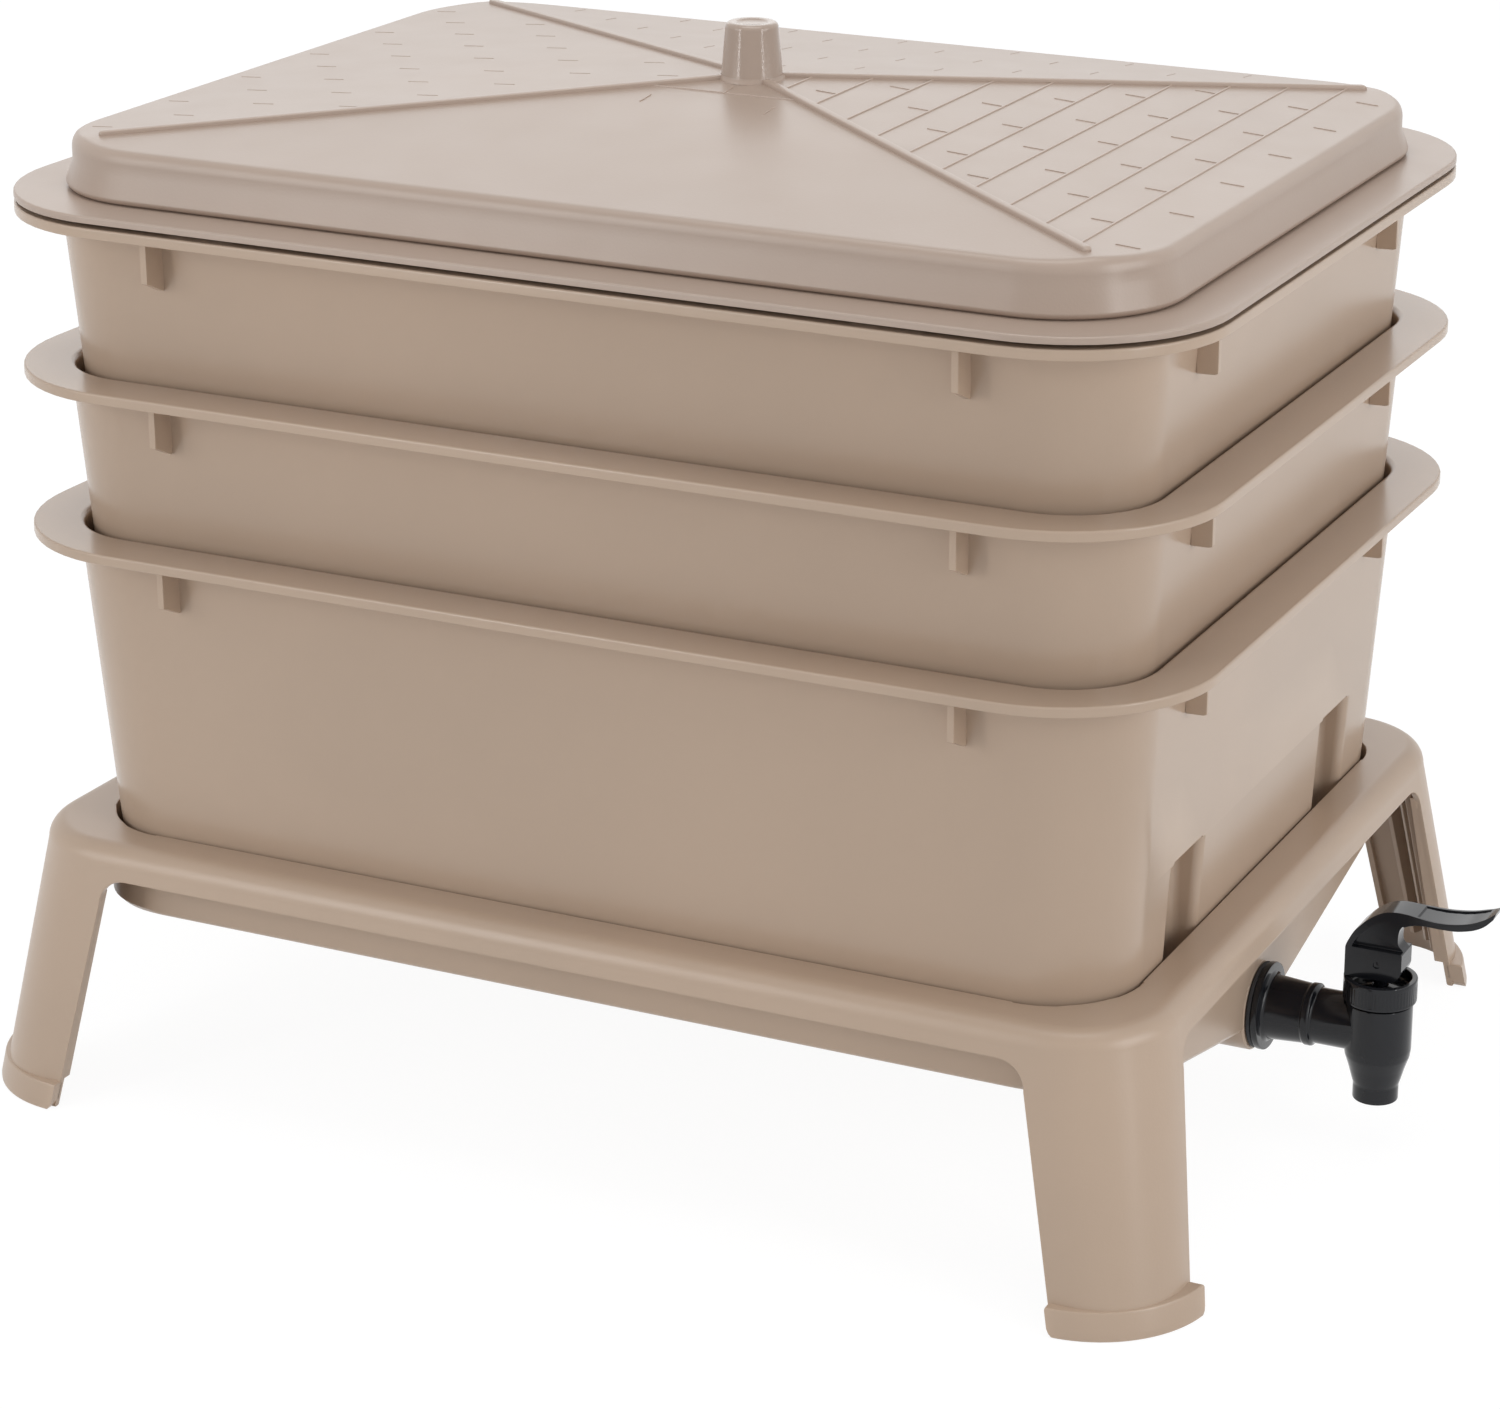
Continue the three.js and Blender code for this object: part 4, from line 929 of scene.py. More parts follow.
def sump_end(settings):
    """A plain block as large as the sump's tap end, sunk half a wall into the stand, to trim the boss with."""
    stand = settings.stand
    long, short = opening_reach(settings, stand.wall / 2 - stand.sump_draft)
    rim = stand.height - stand.sump_depth + stand.wall / 2
    rows = []
    for x in (long - 2 * stand.boss, long):
        foot = rim - sump_fall(stand, x, 0.0, long, short)
        rows.append([Vector(p) for p in ((x, 0, foot), (x, short, rim), (x, short, stand.height),
                                         (x, -short, stand.height), (x, -short, rim))])
    bm = bmesh.new()
    closed_loft(bm, rows)
    return new_object(bm, "sump end")


def stand_rows(settings):
    """Rows over the whole section of the stand, from the sump's inside over the ring to its underside."""
    stand, rim = settings.stand, settings.rim
    top, wall, edge, notch = stand.height, stand.wall, stand.opening_edge, stand.notch
    inside_edge, inside_valley = inner_sump(settings)
    long, short = opening_reach(settings, wall - stand.sump_draft / 2)
    corner = rim.wall_corner - stand.corner_relief
    outside_edge, outside_valley = sump_rows(settings, long - wall, short - wall, corner, 0.0)
    bend = [Vector((p.x * long / (long - wall), p.y * short / (short - wall), p.z + wall)) for p in outside_edge]
    sag = Vector((0, 0, -SUMP_SAG * wall))
    halfway = [point + sag for point in blended(outside_edge, bend, 0.5)]
    shoulder_top = ring_row(settings, 0.0, top - stand.shoulder)
    hem = hem_row(settings, 0.0)
    inner_hem = hem_row(settings, wall)
    inner_shoulder = ring_row(settings, wall, top - stand.shoulder)
    (near, far), slight = HEM_PARTS, 0.3 * stand.hem
    rows = [inside_valley, blended(inside_valley, inside_edge, 0.5), inside_edge,
            blended(inside_edge, opening_row(settings, 0.0, top - edge), 0.5)]
    rows += [opening_row(settings, away, top - down, notch) for away, down in quarter_turn(edge, 3)]
    rows += [opening_row(settings, notch + 2 * edge, top)]
    rows += [ring_row(settings, away, top - down) for away, down in reversed(quarter_turn(stand.shoulder, 9))]
    rows += [blended(shoulder_top, hem, part) for part in OUTER_LEG_ROWS]
    rows += [drawn_towards(hem, shoulder_top, stand.hem),
             drawn_towards(blended(hem, inner_hem, near), shoulder_top, slight),
             blended(hem, inner_hem, stand.hem / wall), blended(hem, inner_hem, 1 - stand.hem / wall),
             drawn_towards(blended(hem, inner_hem, far), inner_shoulder, slight),
             drawn_towards(inner_hem, inner_shoulder, stand.hem)]
    rows += [blended(inner_hem, inner_shoulder, part) for part in INNER_LEG_ROWS]
    rows += [inner_shoulder, ring_row(settings, stand.shoulder, top - wall),
             opening_row(settings, wall, top - wall), bend, halfway, outside_edge,
             blended(outside_edge, outside_valley, 0.5), outside_valley]
    return rows


def edge_place(stations, z, foot_of_fillet):
    """Where a leg's free edge runs at one height below its fillet."""
    top, foot = stations[-2][0], stations[-1][0]
    return foot + (top - foot) * z / foot_of_fillet


def upright(bm, rows):
    """A closed upright bar through level outlines, with soft edges."""
    return bevelled(bm, closed_loft(bm, rows), RIB_ROUNDING)


def add_leg_ribs(bm, settings):
    """Three upright ribs and two folded edges inside one leg."""
    stand = settings.stand
    wall = stand.wall
    long_stations, short_stations = leg_stations(settings)
    ring_long, ring_short = ring_reach(settings)
    foot_of_fillet = stand.height - stand.apron - stand.fillet
    fold_top = stand.height - stand.apron - stand.fillet / 2
    parts = []
    for turn in RIB_TURNS:
        out, across = Vector((cos(turn), sin(turn))), Vector((-sin(turn), cos(turn)))
        rows = []
        for z, inset in ((stand.rib_gap, wall / 2), (stand.height - stand.shoulder, wall / 2),
                         (stand.height - wall / 2, RIB_TOP_INSET * stand.shoulder)):
            radius = leg_radius(stand, z)
            middle = Vector((ring_long, ring_short)) + Vector((1, 1)) * (leg_spread(stand, z) - radius)
            outer, inner = radius - inset, radius - wall - stand.rib_depth
            corners = ((inner, -0.5), (outer, -0.5), (outer, 0.5), (inner, 0.5))
            rows.append([(middle + out * r + across * side * stand.rib).to_3d() + Vector((0, 0, z))
                         for r, side in corners])
        parts.append(upright(bm, rows))

    def fold(stations, ring, corners):
        rows = []
        for z in (stand.rib_gap, fold_top):
            edge = edge_place(stations, z, foot_of_fillet)
            outer = ring + leg_spread(stand, z) - wall / 2
            inner = outer - wall / 2 - stand.fold * (1 - stand.fold_taper * z / fold_top)
            rows.append([Vector((*corner, z)) for corner in corners(edge, edge + wall, inner, outer)])
        return upright(bm, rows)
    parts.append(fold(long_stations, ring_short, lambda a, b, low, high: ((a, low), (b, low), (b, high), (a, high))))
    parts.append(fold(short_stations, ring_long, lambda a, b, low, high: ((low, a), (high, a), (high, b), (low, b))))
    return parts


def arc_through(start, middle, end, steps):
    """Points on the circle through three points in plan."""
    a, b = middle - start, end - start
    d = 2 * (a.x * b.y - a.y * b.x)
    centre = start + Vector((b.y * a.length_squared - a.y * b.length_squared,
                             a.x * b.length_squared - b.x * a.length_squared)) / d
    radius = (start - centre).length
    first, last = (atan2(p.y - centre.y, p.x - centre.x) for p in (start, end))
    angles = [first + (last - first) * step / steps for step in range(steps + 1)]
    return [centre + radius * Vector((cos(t), sin(t))) for t in angles]


def add_foot_lip(bm, settings):
    """The lip round the outside of one foot: a curved band with rounded ends and a soft top."""
    stand = settings.stand
    long_stations, short_stations = leg_stations(settings)
    ring_long, ring_short = ring_reach(settings)
    foot_of_fillet = stand.height - stand.apron - stand.fillet
    soft, high, core = LIP_ROUNDING, stand.lip_height, stand.wall / 2

    def lip_row(z, inset, skew=0.0):
        spread, radius = leg_spread(stand, z), leg_radius(stand, z)
        long, short = ring_long + spread, ring_short + spread
        proud = stand.lip_middle - inset
        arc = corner_arcs(long + proud, short + proud, radius + proud)[0]
        start = Vector((long + stand.lip_long - inset, edge_place(short_stations, z, foot_of_fillet) + inset + skew))
        end = Vector((edge_place(long_stations, z, foot_of_fillet) + inset + skew, short + stand.lip_short - inset))
        outer = arc_through(start, arc[CORNER_MIDDLE], end, CORNER_STEPS + 4)
        inner = corner_arcs(long - core, short - core, radius - core)[0][::-1]
        plan = outer + [Vector((end.x, short - core))] + inner + [Vector((long - core, start.y))]
        return [Vector((p.x, p.y, z)) for p in plan]
    rows = [lip_row(up * soft, inset * soft, skew) for up, inset, skew in LIP_ROWS]
    rows += [lip_row(0.3 * high, 0.0), lip_row(high - soft, 0.0), lip_row(high - 0.3 * soft, 0.3 * soft),
             lip_row(high, soft)]
    return closed_loft(bm, rows)


def add_tray_guides(bm, settings):
    """Guides inside the ring: each stands off the tray's wall and has a foot that the tray rests on."""
    stand, tray = settings.stand, settings.tray
    foot = rim_height(settings, 0) - tray.depth - tray.seat_gap
    long, short = opening_reach(settings)
    sump = stand.height - stand.sump_depth + stand.wall / 2

    def guide(wall, level_at, place):
        outer, inner, toe = wall + stand.wall / 2, wall - stand.clearance + tray.seat_gap, wall - stand.guide_foot
        top = stand.height - GUIDE_DROP
        outline = [(toe, level_at(toe)), (toe, foot), (inner, foot), (inner, top), (outer, top),
                   (outer, level_at(wall))]
        plate(bm, outline, stand.guide, GUIDE_ROUNDING, place, segments=1)
    for turn in (-1, 1):
        for side in (-1, 1):
            guide(long, lambda u: sump - sump_fall(stand, turn * u, stand.guide_short, long, short),
                  about_z(0 if turn > 0 else pi, (0, side * stand.guide_short, 0)))
            for along in (stand.guide_inner, stand.guide_outer):
                guide(short, lambda u: sump - sump_fall(stand, side * along, u, long, short),
                      about_z(turn * pi / 2, (side * along, 0, 0)))


def along_tap(settings, from_x):
    """Turns a piece made upright so that it lies along the tap's axis."""
    axis = settings.stand.height - settings.tap.below_ring
    return Matrix.Translation((from_x, 0.0, axis)) @ Matrix.Rotation(pi / 2, 4, "Y")


def boss_face(settings):
    long, _ = opening_reach(settings, settings.stand.wall - settings.stand.sump_draft / 2)
    return long + settings.tray.seat_gap


def add_tap_boss(settings, piece):
    """Cuts the tap's bore and nut pocket, and adds the boss under the sump that holds them."""
    stand = settings.stand
    face = boss_face(settings)
    inner = face - stand.wall
    outer_radius, soft, end = stand.boss_bore + stand.boss_wall, BOSS_ROUNDING, stand.boss
    body = [(0, 0), (outer_radius - soft, 0), (outer_radius, soft), (outer_radius, end - soft),
            (outer_radius - soft, end), (0, end)]
    boss = turned_piece("boss", body, along_tap(settings, face - end))
    combined(boss, sump_end(settings), "DIFFERENCE")
    combined(piece, boss, "UNION")
    depth = inner - (face - end + stand.wall)
    reach = face - inner + stand.wall + BORE_OVERRUN
    for name, radius, start, deep in (("nut pocket", stand.boss_bore, inner - depth, depth),
                                      ("tap bore", stand.bore, inner - stand.wall, reach)):
        cutter = turned_piece(name, rod(radius, 0, deep), along_tap(settings, start))
        combined(piece, cutter, "DIFFERENCE")


class WORMERY_OT_stand(bpy.types.Operator):
    """Builds the one-piece stand: ring, legs with ribs and foot lips, sump, guides and tap boss"""
    bl_idname = "wormery.stand"
    bl_label = "Stand"

    def execute(self, context):
        settings = context.scene.wormery
        bm = bmesh.new()
        loft(bm, stand_rows(settings))
        piece = new_object(bm, "moulded_stand")
        add_tap_boss(settings, piece)
        bm = opened(piece)
        add_tray_guides(bm, settings)
        for part in add_leg_ribs(bm, settings) + [add_foot_lip(bm, settings)]:
            across = mirrored(bm, part, "Y")
            mirrored(bm, part, "X")
            mirrored(bm, across, "X")
        move_to_stack(bm)
        bmesh.ops.recalc_face_normals(bm, faces=bm.faces)
        stored(bm, piece)
        dress(piece, finish_named("Taupe stand plastic"), "stand", "stand", sharp=35)
        return {"FINISHED"}


# Lid

ROOF_EDGE_STEPS = 6
BEAD_SINK = 0.001
KNOB_OVERLAP = 0.001
COURSE_END_SHARE = 0.4
LINE_SINK = 0.0004
# Share of a line's tip and of its height there, from its end inwards
LINE_TAPER = ((0.0, 0.45), (0.4, 0.85), (1.0, 1.0))
FRONT_COURSE, FRONT_COURSE_INSET = 1.23, 0.002
FRONT_COURSE_SIZE = 0.8
FRONT_TICKS = ((0.0, 0.0270), (-0.028, 0.0478), (0.0288, 0.0478))
TICK_SIZE, FAINT_TICK_SIZE = 0.7, 0.35
COURSE_EDGE_GAP = 0.006
# Rows of the knob's root: out from its foot's radius, and up from the roof's apex
KNOB_ROOT = ((0.0008, 0.0002), (0.0, 0.0012))
KNOB_SKIRT = 0.0012
# Rows of the dish in the knob's head: in from its radius, and down as a share of its depth
KNOB_DISH = ((0.0, 0.0), (0.0006, 0.4), (0.0016, 1.0))
PAD_HALF_LENGTH = 0.015
PAD_LONG, PAD_SHORT = 0.150, 0.090
PAD_ROUNDING = 0.0003


def lid_heights(settings):
    """Heights of the flange's underside and of the slab's flat edge."""
    lid, rim = settings.lid, settings.rim
    base = rim_height(settings, 2) + rim.thickness + lid.seat_gap
    return base, base + lid.flange + lid.slab_rise


def slab_reach(settings, inset=0.0):
    return wall_reach(settings.rim, 0.0, settings.lid.slab_inset + inset)


def roof_height(settings, x, y, drop=0.0):
    long, short = slab_reach(settings)
    _, edge = lid_heights(settings)
    return edge - drop + settings.lid.roof_rise * (1 - max(abs(x) / long, abs(y) / short))


def plan_row(long, short, radius, z):
    first, second, third, fourth = corner_arcs(long, short, radius)
    plan = [Vector((long, 0.0))] + first + second + [Vector((-long, 0.0))] + third + fourth
    return [Vector((p.x, p.y, z)) for p in plan]


def lid_rows(settings):
    """Rows over the whole section of the lid, from the roof's top down the outside and up the inside."""
    lid, rim = settings.lid, settings.rim
    base, edge_height = lid_heights(settings)
    flange_top = base + lid.flange

    def slab(inset, z):
        long, short = slab_reach(settings, inset)
        return plan_row(long, short, lid.slab_corner - inset, z)

    def roof(inset, drop):
        return [Vector((p.x, p.y, roof_height(settings, p.x, p.y, drop))) for p in slab(inset, 0.0)]

    def flange(inset, z):
        return plan_row(rim.length / 2 - inset, rim.width / 2 - inset, rim.corner - inset, z)

    def apex(drop):
        return [Vector((0.0, 0.0, roof_height(settings, 0.0, 0.0, drop)))] * len(slab(0.0, 0.0))
    soft, root = lid.slab_edge, lid.slab_root
    skirt = slab_reach(settings)[0] - (wall_reach(rim, 0.0)[0] - rim.wall - lid.skirt_gap)
    skirt_foot = base - lid.seat_gap - lid.skirt
    foot = flange_top + lid.wall / 2
    rows = [apex(0.0), blended(apex(0.0), roof(soft, 0.0), 0.5)]
    for step in range(ROOF_EDGE_STEPS + 1):
        angle = pi / 2 * step / ROOF_EDGE_STEPS
        rise = roof(soft * (1 - sin(angle)), 0.0)
        side = slab(soft * (1 - sin(angle)), edge_height - soft * (1 - cos(angle)))
        rows.append(blended(rise, side, sin(angle) ** 2))
    rows += [slab(0.0, edge_height - 2 * soft)]
    rows += [slab(down - root, flange_top + away) for away, down in reversed(quarter_turn(root))]
    rows += [flange(4 * rim.edge, flange_top)]
    rows += [flange(away, flange_top - down) for away, down in reversed(quarter_turn(rim.edge))]
    rows += [flange(away, base + down) for away, down in quarter_turn(rim.edge / 2, 3)]
    rows += [slab(skirt, foot - lid.wall), slab(skirt, skirt_foot + rim.edge), slab(skirt + rim.edge / 2, skirt_foot),
             slab(skirt + lid.wall - rim.edge / 2, skirt_foot), slab(skirt + lid.wall, skirt_foot + rim.edge),
             slab(skirt + lid.wall, edge_height - soft),
             roof(skirt + lid.wall + soft / 2, lid.wall), apex(lid.wall)]
    return rows


def rounded_bar(bm, start, end, width, height, sink=LINE_SINK, sides=6):
    """A thin raised line with steep sides and a soft top between two points of the roof."""
    along = (end - start).normalized()
    across = along.cross(Vector((0, 0, 1))).normalized()
    up = across.cross(along)
    turns = [pi * step / sides for step in range(sides + 1)]
    section = [(copysign(sqrt(abs(cos(t))), cos(t)) * width / 2, sqrt(sin(t)) * height) for t in turns[1:-1]]
    section = [(width / 2, 0.0)] + section + [(-width / 2, 0.0)]
    section += [(-width / 2, -sink), (width / 2, -sink)]

    def row(middle, size):
        return [middle + across * s * size + up * (h * size if h > 0 else h) for s, h in section]
    tip = min(width / 2, (end - start).length / 4)
    rows = [row(start + along * tip * inward, size) for inward, size in LINE_TAPER]
    rows += [row(end - along * tip * inward, size) for inward, size in reversed(LINE_TAPER)]
    closed_loft(bm, rows)


def add_roof_lines(bm, settings):
    """Raised beads along the hips, and the courses and short joints of a tiled roof."""
    lid = settings.lid
    long, short = slab_reach(settings)

    def line(start, end, width, height, **options):
        ends = [Vector((x, y, roof_height(settings, x, y))) for x, y in (start, end)]
        rounded_bar(bm, *ends, width, height, **options)

    def tick(start, end, size):
        line(start, end, lid.line * size, lid.line_height * size, sides=4)
    start = (lid.knob_foot - KNOB_OVERLAP) / hypot(long, short)
    for sx, sy in CORNERS:
        line((sx * long * start, sy * short * start), (sx * long * lid.bead_share, sy * short * lid.bead_share),
             lid.bead, lid.bead_height, sink=BEAD_SINK, sides=8)
    for step in range(1, floor(long * lid.bead_share / lid.course) + 1):
        x = step * lid.course
        reach = short * x / long - lid.bead * COURSE_END_SHARE
        line((x, -reach), (x, reach), lid.line, lid.line_height)
    x, y = long * FRONT_COURSE * lid.course / short, -FRONT_COURSE * lid.course
    line((-x + FRONT_COURSE_INSET, y), (x - FRONT_COURSE_INSET, y),
         lid.line * FRONT_COURSE_SIZE, lid.line_height * FRONT_COURSE_SIZE)
    for face, reach, across in (("tap end", long, short), ("far end", long, short), ("back", short, long)):
        span = floor(across / lid.tick_pitch) + 1
        for step in range(1, floor((reach - COURSE_EDGE_GAP) / lid.course) + 1):
            edge = step * lid.course
            shift = -lid.tick_shift + (lid.tick_pitch / 2 if step % 2 else 0.0)
            for place in [shift + k * lid.tick_pitch for k in range(-span, span + 1)]:
                if abs(place) > across * (edge - lid.tick) / reach - 2 * lid.bead:
                    continue
                ends = [(edge - lid.tick, place), (edge, place)]
                if face == "far end":
                    ends = [(-u, v) for u, v in ends]
                if face == "back":
                    ends = [(v, u) for u, v in ends]
                tick(*ends, TICK_SIZE if face == "tap end" else FAINT_TICK_SIZE)
    for u, v in FRONT_TICKS:
        tick((u, -v + lid.tick), (u, -v), TICK_SIZE)


def add_knob(bm, settings):
    """The tapered knob on the apex, with a soft upper edge, a shallow dish and a small fillet at its root."""
    lid = settings.lid
    apex = roof_height(settings, 0.0, 0.0)
    root, top = apex - lid.wall / 2, apex + lid.knob_height
    profile = [(0.0, root), (lid.knob_foot + KNOB_SKIRT, root)]
    profile += [(lid.knob_foot + out, apex + up) for out, up in KNOB_ROOT]
    profile += [(lid.knob_head - away, top - down) for away, down in quarter_turn(lid.knob_edge, 6)]
    profile += [(lid.dish - away, top - share_down * lid.dish_depth) for away, share_down in KNOB_DISH]
    turned(bm, profile + [(0.0, top - lid.dish_depth)])


def add_seat_pads(bm, settings):
    """Pads under the flange that keep the lid just off the upper rim."""
    lid, rim = settings.lid, settings.rim
    base, _ = lid_heights(settings)
    low, high = base - lid.seat_gap + settings.tray.seat_gap, base + lid.flange / 2
    long, short = (reach + rim.wall_inset / 2 for reach in wall_reach(rim, 0.0))
    outline = [(-PAD_HALF_LENGTH, low), (PAD_HALF_LENGTH, low), (PAD_HALF_LENGTH, high), (-PAD_HALF_LENGTH, high)]
    for side in (-1, 1):
        for turn in (-1, 1):
            for place in (about_z(0, (side * PAD_LONG, turn * short, 0)),
                          about_z(pi / 2, (turn * long, side * PAD_SHORT, 0))):
                plate(bm, outline, lid.wall, PAD_ROUNDING, place)


class WORMERY_OT_lid(bpy.types.Operator):
    """Builds the lid: flange, slab, hipped roof with its lines, knob and seat pads"""
    bl_idname = "wormery.lid"
    bl_label = "Lid"

    def execute(self, context):
        settings = context.scene.wormery
        bm = bmesh.new()
        loft(bm, lid_rows(settings))
        add_roof_lines(bm, settings)
        add_knob(bm, settings)
        add_seat_pads(bm, settings)
        move_to_stack(bm)
        piece = new_object(bm, "moulded_lid")
        dress(piece, finish_named("Taupe lid plastic"), "lid", "lid", sharp=40)
        return {"FINISHED"}


# Tap

THREAD_DEPTH = 0.0006
THREAD_CREST = (0.35, 0.6)
THREAD_INSET = 0.001
WALL_GASKET = 0.002
# Softened steps of the shaft: at the flange, at the bead and behind the bead
FLANGE_FILLET, BEAD_CHAMFER, NECK_CHAMFER = 0.0012, 0.0006, 0.0009
SEAT_CHAMFER, SEAT_LIP, SEAT_LENGTH, SEAT_FOOT = 0.0015, 0.0006, 0.0025, 0.0035
# Softened steps at the taper's two ends: out from the spout's and the barrel's radius, and up from its foot and head
SPOUT_STEPS = ((0.0, -0.001), (0.0006, 0.0008))
BARREL_STEPS = ((-0.0004, -0.0012), (0.0, 0.002))
CHAMBER_PLAY = 0.0001
GASKET_ROUNDINGS = {"tap_outer_gasket": 0.0007, "tap_inner_gasket": 0.0006}
NUT_CHAMFER, NUT_CHAMFER_SHARE = 0.0009, 0.955
NUT_STEPS, ROD_STEPS, EYE_STEPS, PIN_STEPS = 48, 40, 48, 32
GRIP_DIPS = (0.0, 0.8, 1.0, 0.8)
BONNET_ROUNDING = 0.0005
BONNET_BANDS = (0.0012, 0.0016, 0.0024, 0.0020)
ROD_ROUNDING, EYE_ROUNDING, PIN_ROUNDING = 0.0004, 0.0006, 0.0001
CUP_SOCKET_DEPTH = 0.0045
# The cup's flare over its foot, and its lip and throat: in from its radius or out from its socket, and down from
# its head
CUP_FLARE = (0.0004, 0.0008)
CUP_LIP = ((0.0, 0.0), (0.0018, 0.0001))
CUP_THROAT = ((0.0012, 0.0016), (0.0, 0.0014))


def tap_place(settings):
    """Places of the flange's back and of the barrel's axis along X, from the stack's middle."""
    flange_back = boss_face(settings) + 2 * settings.tray.seat_gap + WALL_GASKET
    return flange_back, middle_of("tap_stem")[0] - stack_axis()


def soften(profile, rounding, steps=2):
    """Rounds the inner corners of a profile of (radius, height) pairs."""
    points = [Vector(p) for p in profile]
    soft = [points[0]]
    for before, corner, after in zip(points, points[1:], points[2:]):
        back, onward = before - corner, after - corner
        reach = min(rounding, back.length * 0.45, onward.length * 0.45)
        start, end = corner + back.normalized() * reach, corner + onward.normalized() * reach
        for step in range(steps + 1):
            t = step / steps
            soft.append((1 - t) ** 2 * start + 2 * t * (1 - t) * corner + t ** 2 * end)
    return [tuple(p) for p in soft + [points[-1]]]


def thread_profile(start, end, radius, pitch):
    """A zigzag from one height to another that stands for a thread's ridges."""
    turns = max(1, round((end - start) / pitch))
    step = (end - start) / turns
    root = radius - THREAD_DEPTH
    ridges = []
    for turn in range(turns):
        foot = start + turn * step
        ridges += [(root, foot)] + [(radius, foot + part * step) for part in THREAD_CREST]
    return ridges + [(root, end)]


def crosswise(axis_x, z):
    """Turns a piece made upright so that it lies along Y, at a place on the tap's middle plane."""
    return Matrix.Translation((axis_x, 0.0, z)) @ Matrix.Rotation(pi / 2, 4, "X")


class WORMERY_OT_tap_body(bpy.types.Operator):
    """Builds the tap's body: threaded tail, flange, beaded shank, and barrel with spout and collar"""
    bl_idname = "wormery.tap_body"
    bl_label = "Tap body"

    def execute(self, context):
        settings = context.scene.wormery
        tap = settings.tap
        back, barrel_x = tap_place(settings)
        tail, front = back - tap.thread_length, back + tap.flange_thickness
        body = turned_piece("moulded_tap_body", self.shaft(tap, back, tail, front, barrel_x), along_tap(settings, 0.0))

        axis = settings.stand.height - tap.below_ring
        top, seat = axis + tap.neck + tap.barrel_shoulder, axis - tap.seat_drop
        chamber = tap.collar - tap.collar_wall
        at_barrel = Matrix.Translation((barrel_x, 0.0, 0.0))
        barrel = turned_piece("barrel", self.barrel(tap, axis, top, seat, chamber), at_barrel)
        room = rod(chamber - CHAMBER_PLAY, seat, top)
        combined(body, turned_piece("chamber", room, at_barrel), "DIFFERENCE")
        waterway = rod(tap.bore, 0, barrel_x - tail)
        combined(barrel, turned_piece("waterway", waterway, along_tap(settings, tail)), "DIFFERENCE")
        combined(body, barrel, "UNION")
        bm = opened(body)
        move_to_stack(bm)
        clean_shell(bm)
        stored(bm, body)
        dress(body, finish_named("Black tap plastic"), "stand", "tap_body", sharp=38)
        return {"FINISHED"}

    def shaft(self, tap, back, tail, front, barrel_x):
        """The section along the tap: threaded tail, flange, tapered shank, bead and neck."""
        root, bead = tap.thread - THREAD_DEPTH, front + tap.shank
        neck = bead + tap.ring_length
        thread = thread_profile(tail + THREAD_INSET, back - THREAD_INSET, tap.thread, tap.thread_pitch)
        outer = soften([
            (root, back), (tap.flange, back), (tap.flange, front), (tap.shank_root + FLANGE_FILLET, front),
            (tap.shank_root, front + FLANGE_FILLET), (tap.shank_end, bead), (tap.ring, bead + BEAD_CHAMFER),
            (tap.ring, neck), (tap.neck, neck + NECK_CHAMFER), (tap.neck, barrel_x)], tap.edge)
        return [(tap.bore, tail), (root, tail)] + thread + outer + [(tap.bore, barrel_x), (tap.bore, tail)]

    def barrel(self, tap, axis, top, seat, chamber):
        """The upright section: spout, taper, barrel and collar outside, and chamber, seat and mouth inside."""
        mouth, foot, head = axis - tap.spout_drop, axis - tap.spout_top, axis - tap.taper_drop
        skin = soften([
            (tap.spout_bore, mouth), (tap.spout, mouth), *((tap.spout + out, foot + up) for out, up in SPOUT_STEPS),
            ((tap.spout + tap.barrel) / 2, (foot + head) / 2),
            *((tap.barrel + out, head + up) for out, up in BARREL_STEPS),
            (tap.barrel, top - tap.groove), (tap.collar, top - tap.groove),
            (tap.collar, top + tap.collar_height), (chamber, top + tap.collar_height)], tap.edge)
        return skin + [
            (chamber, seat + SEAT_CHAMFER), (chamber - SEAT_CHAMFER, seat), (tap.seat_bore + SEAT_LIP, seat),
            (tap.seat_bore, seat - SEAT_LIP), (tap.seat_bore, seat - SEAT_LENGTH), (tap.spout_bore, seat - SEAT_FOOT),
            (tap.spout_bore, mouth)]


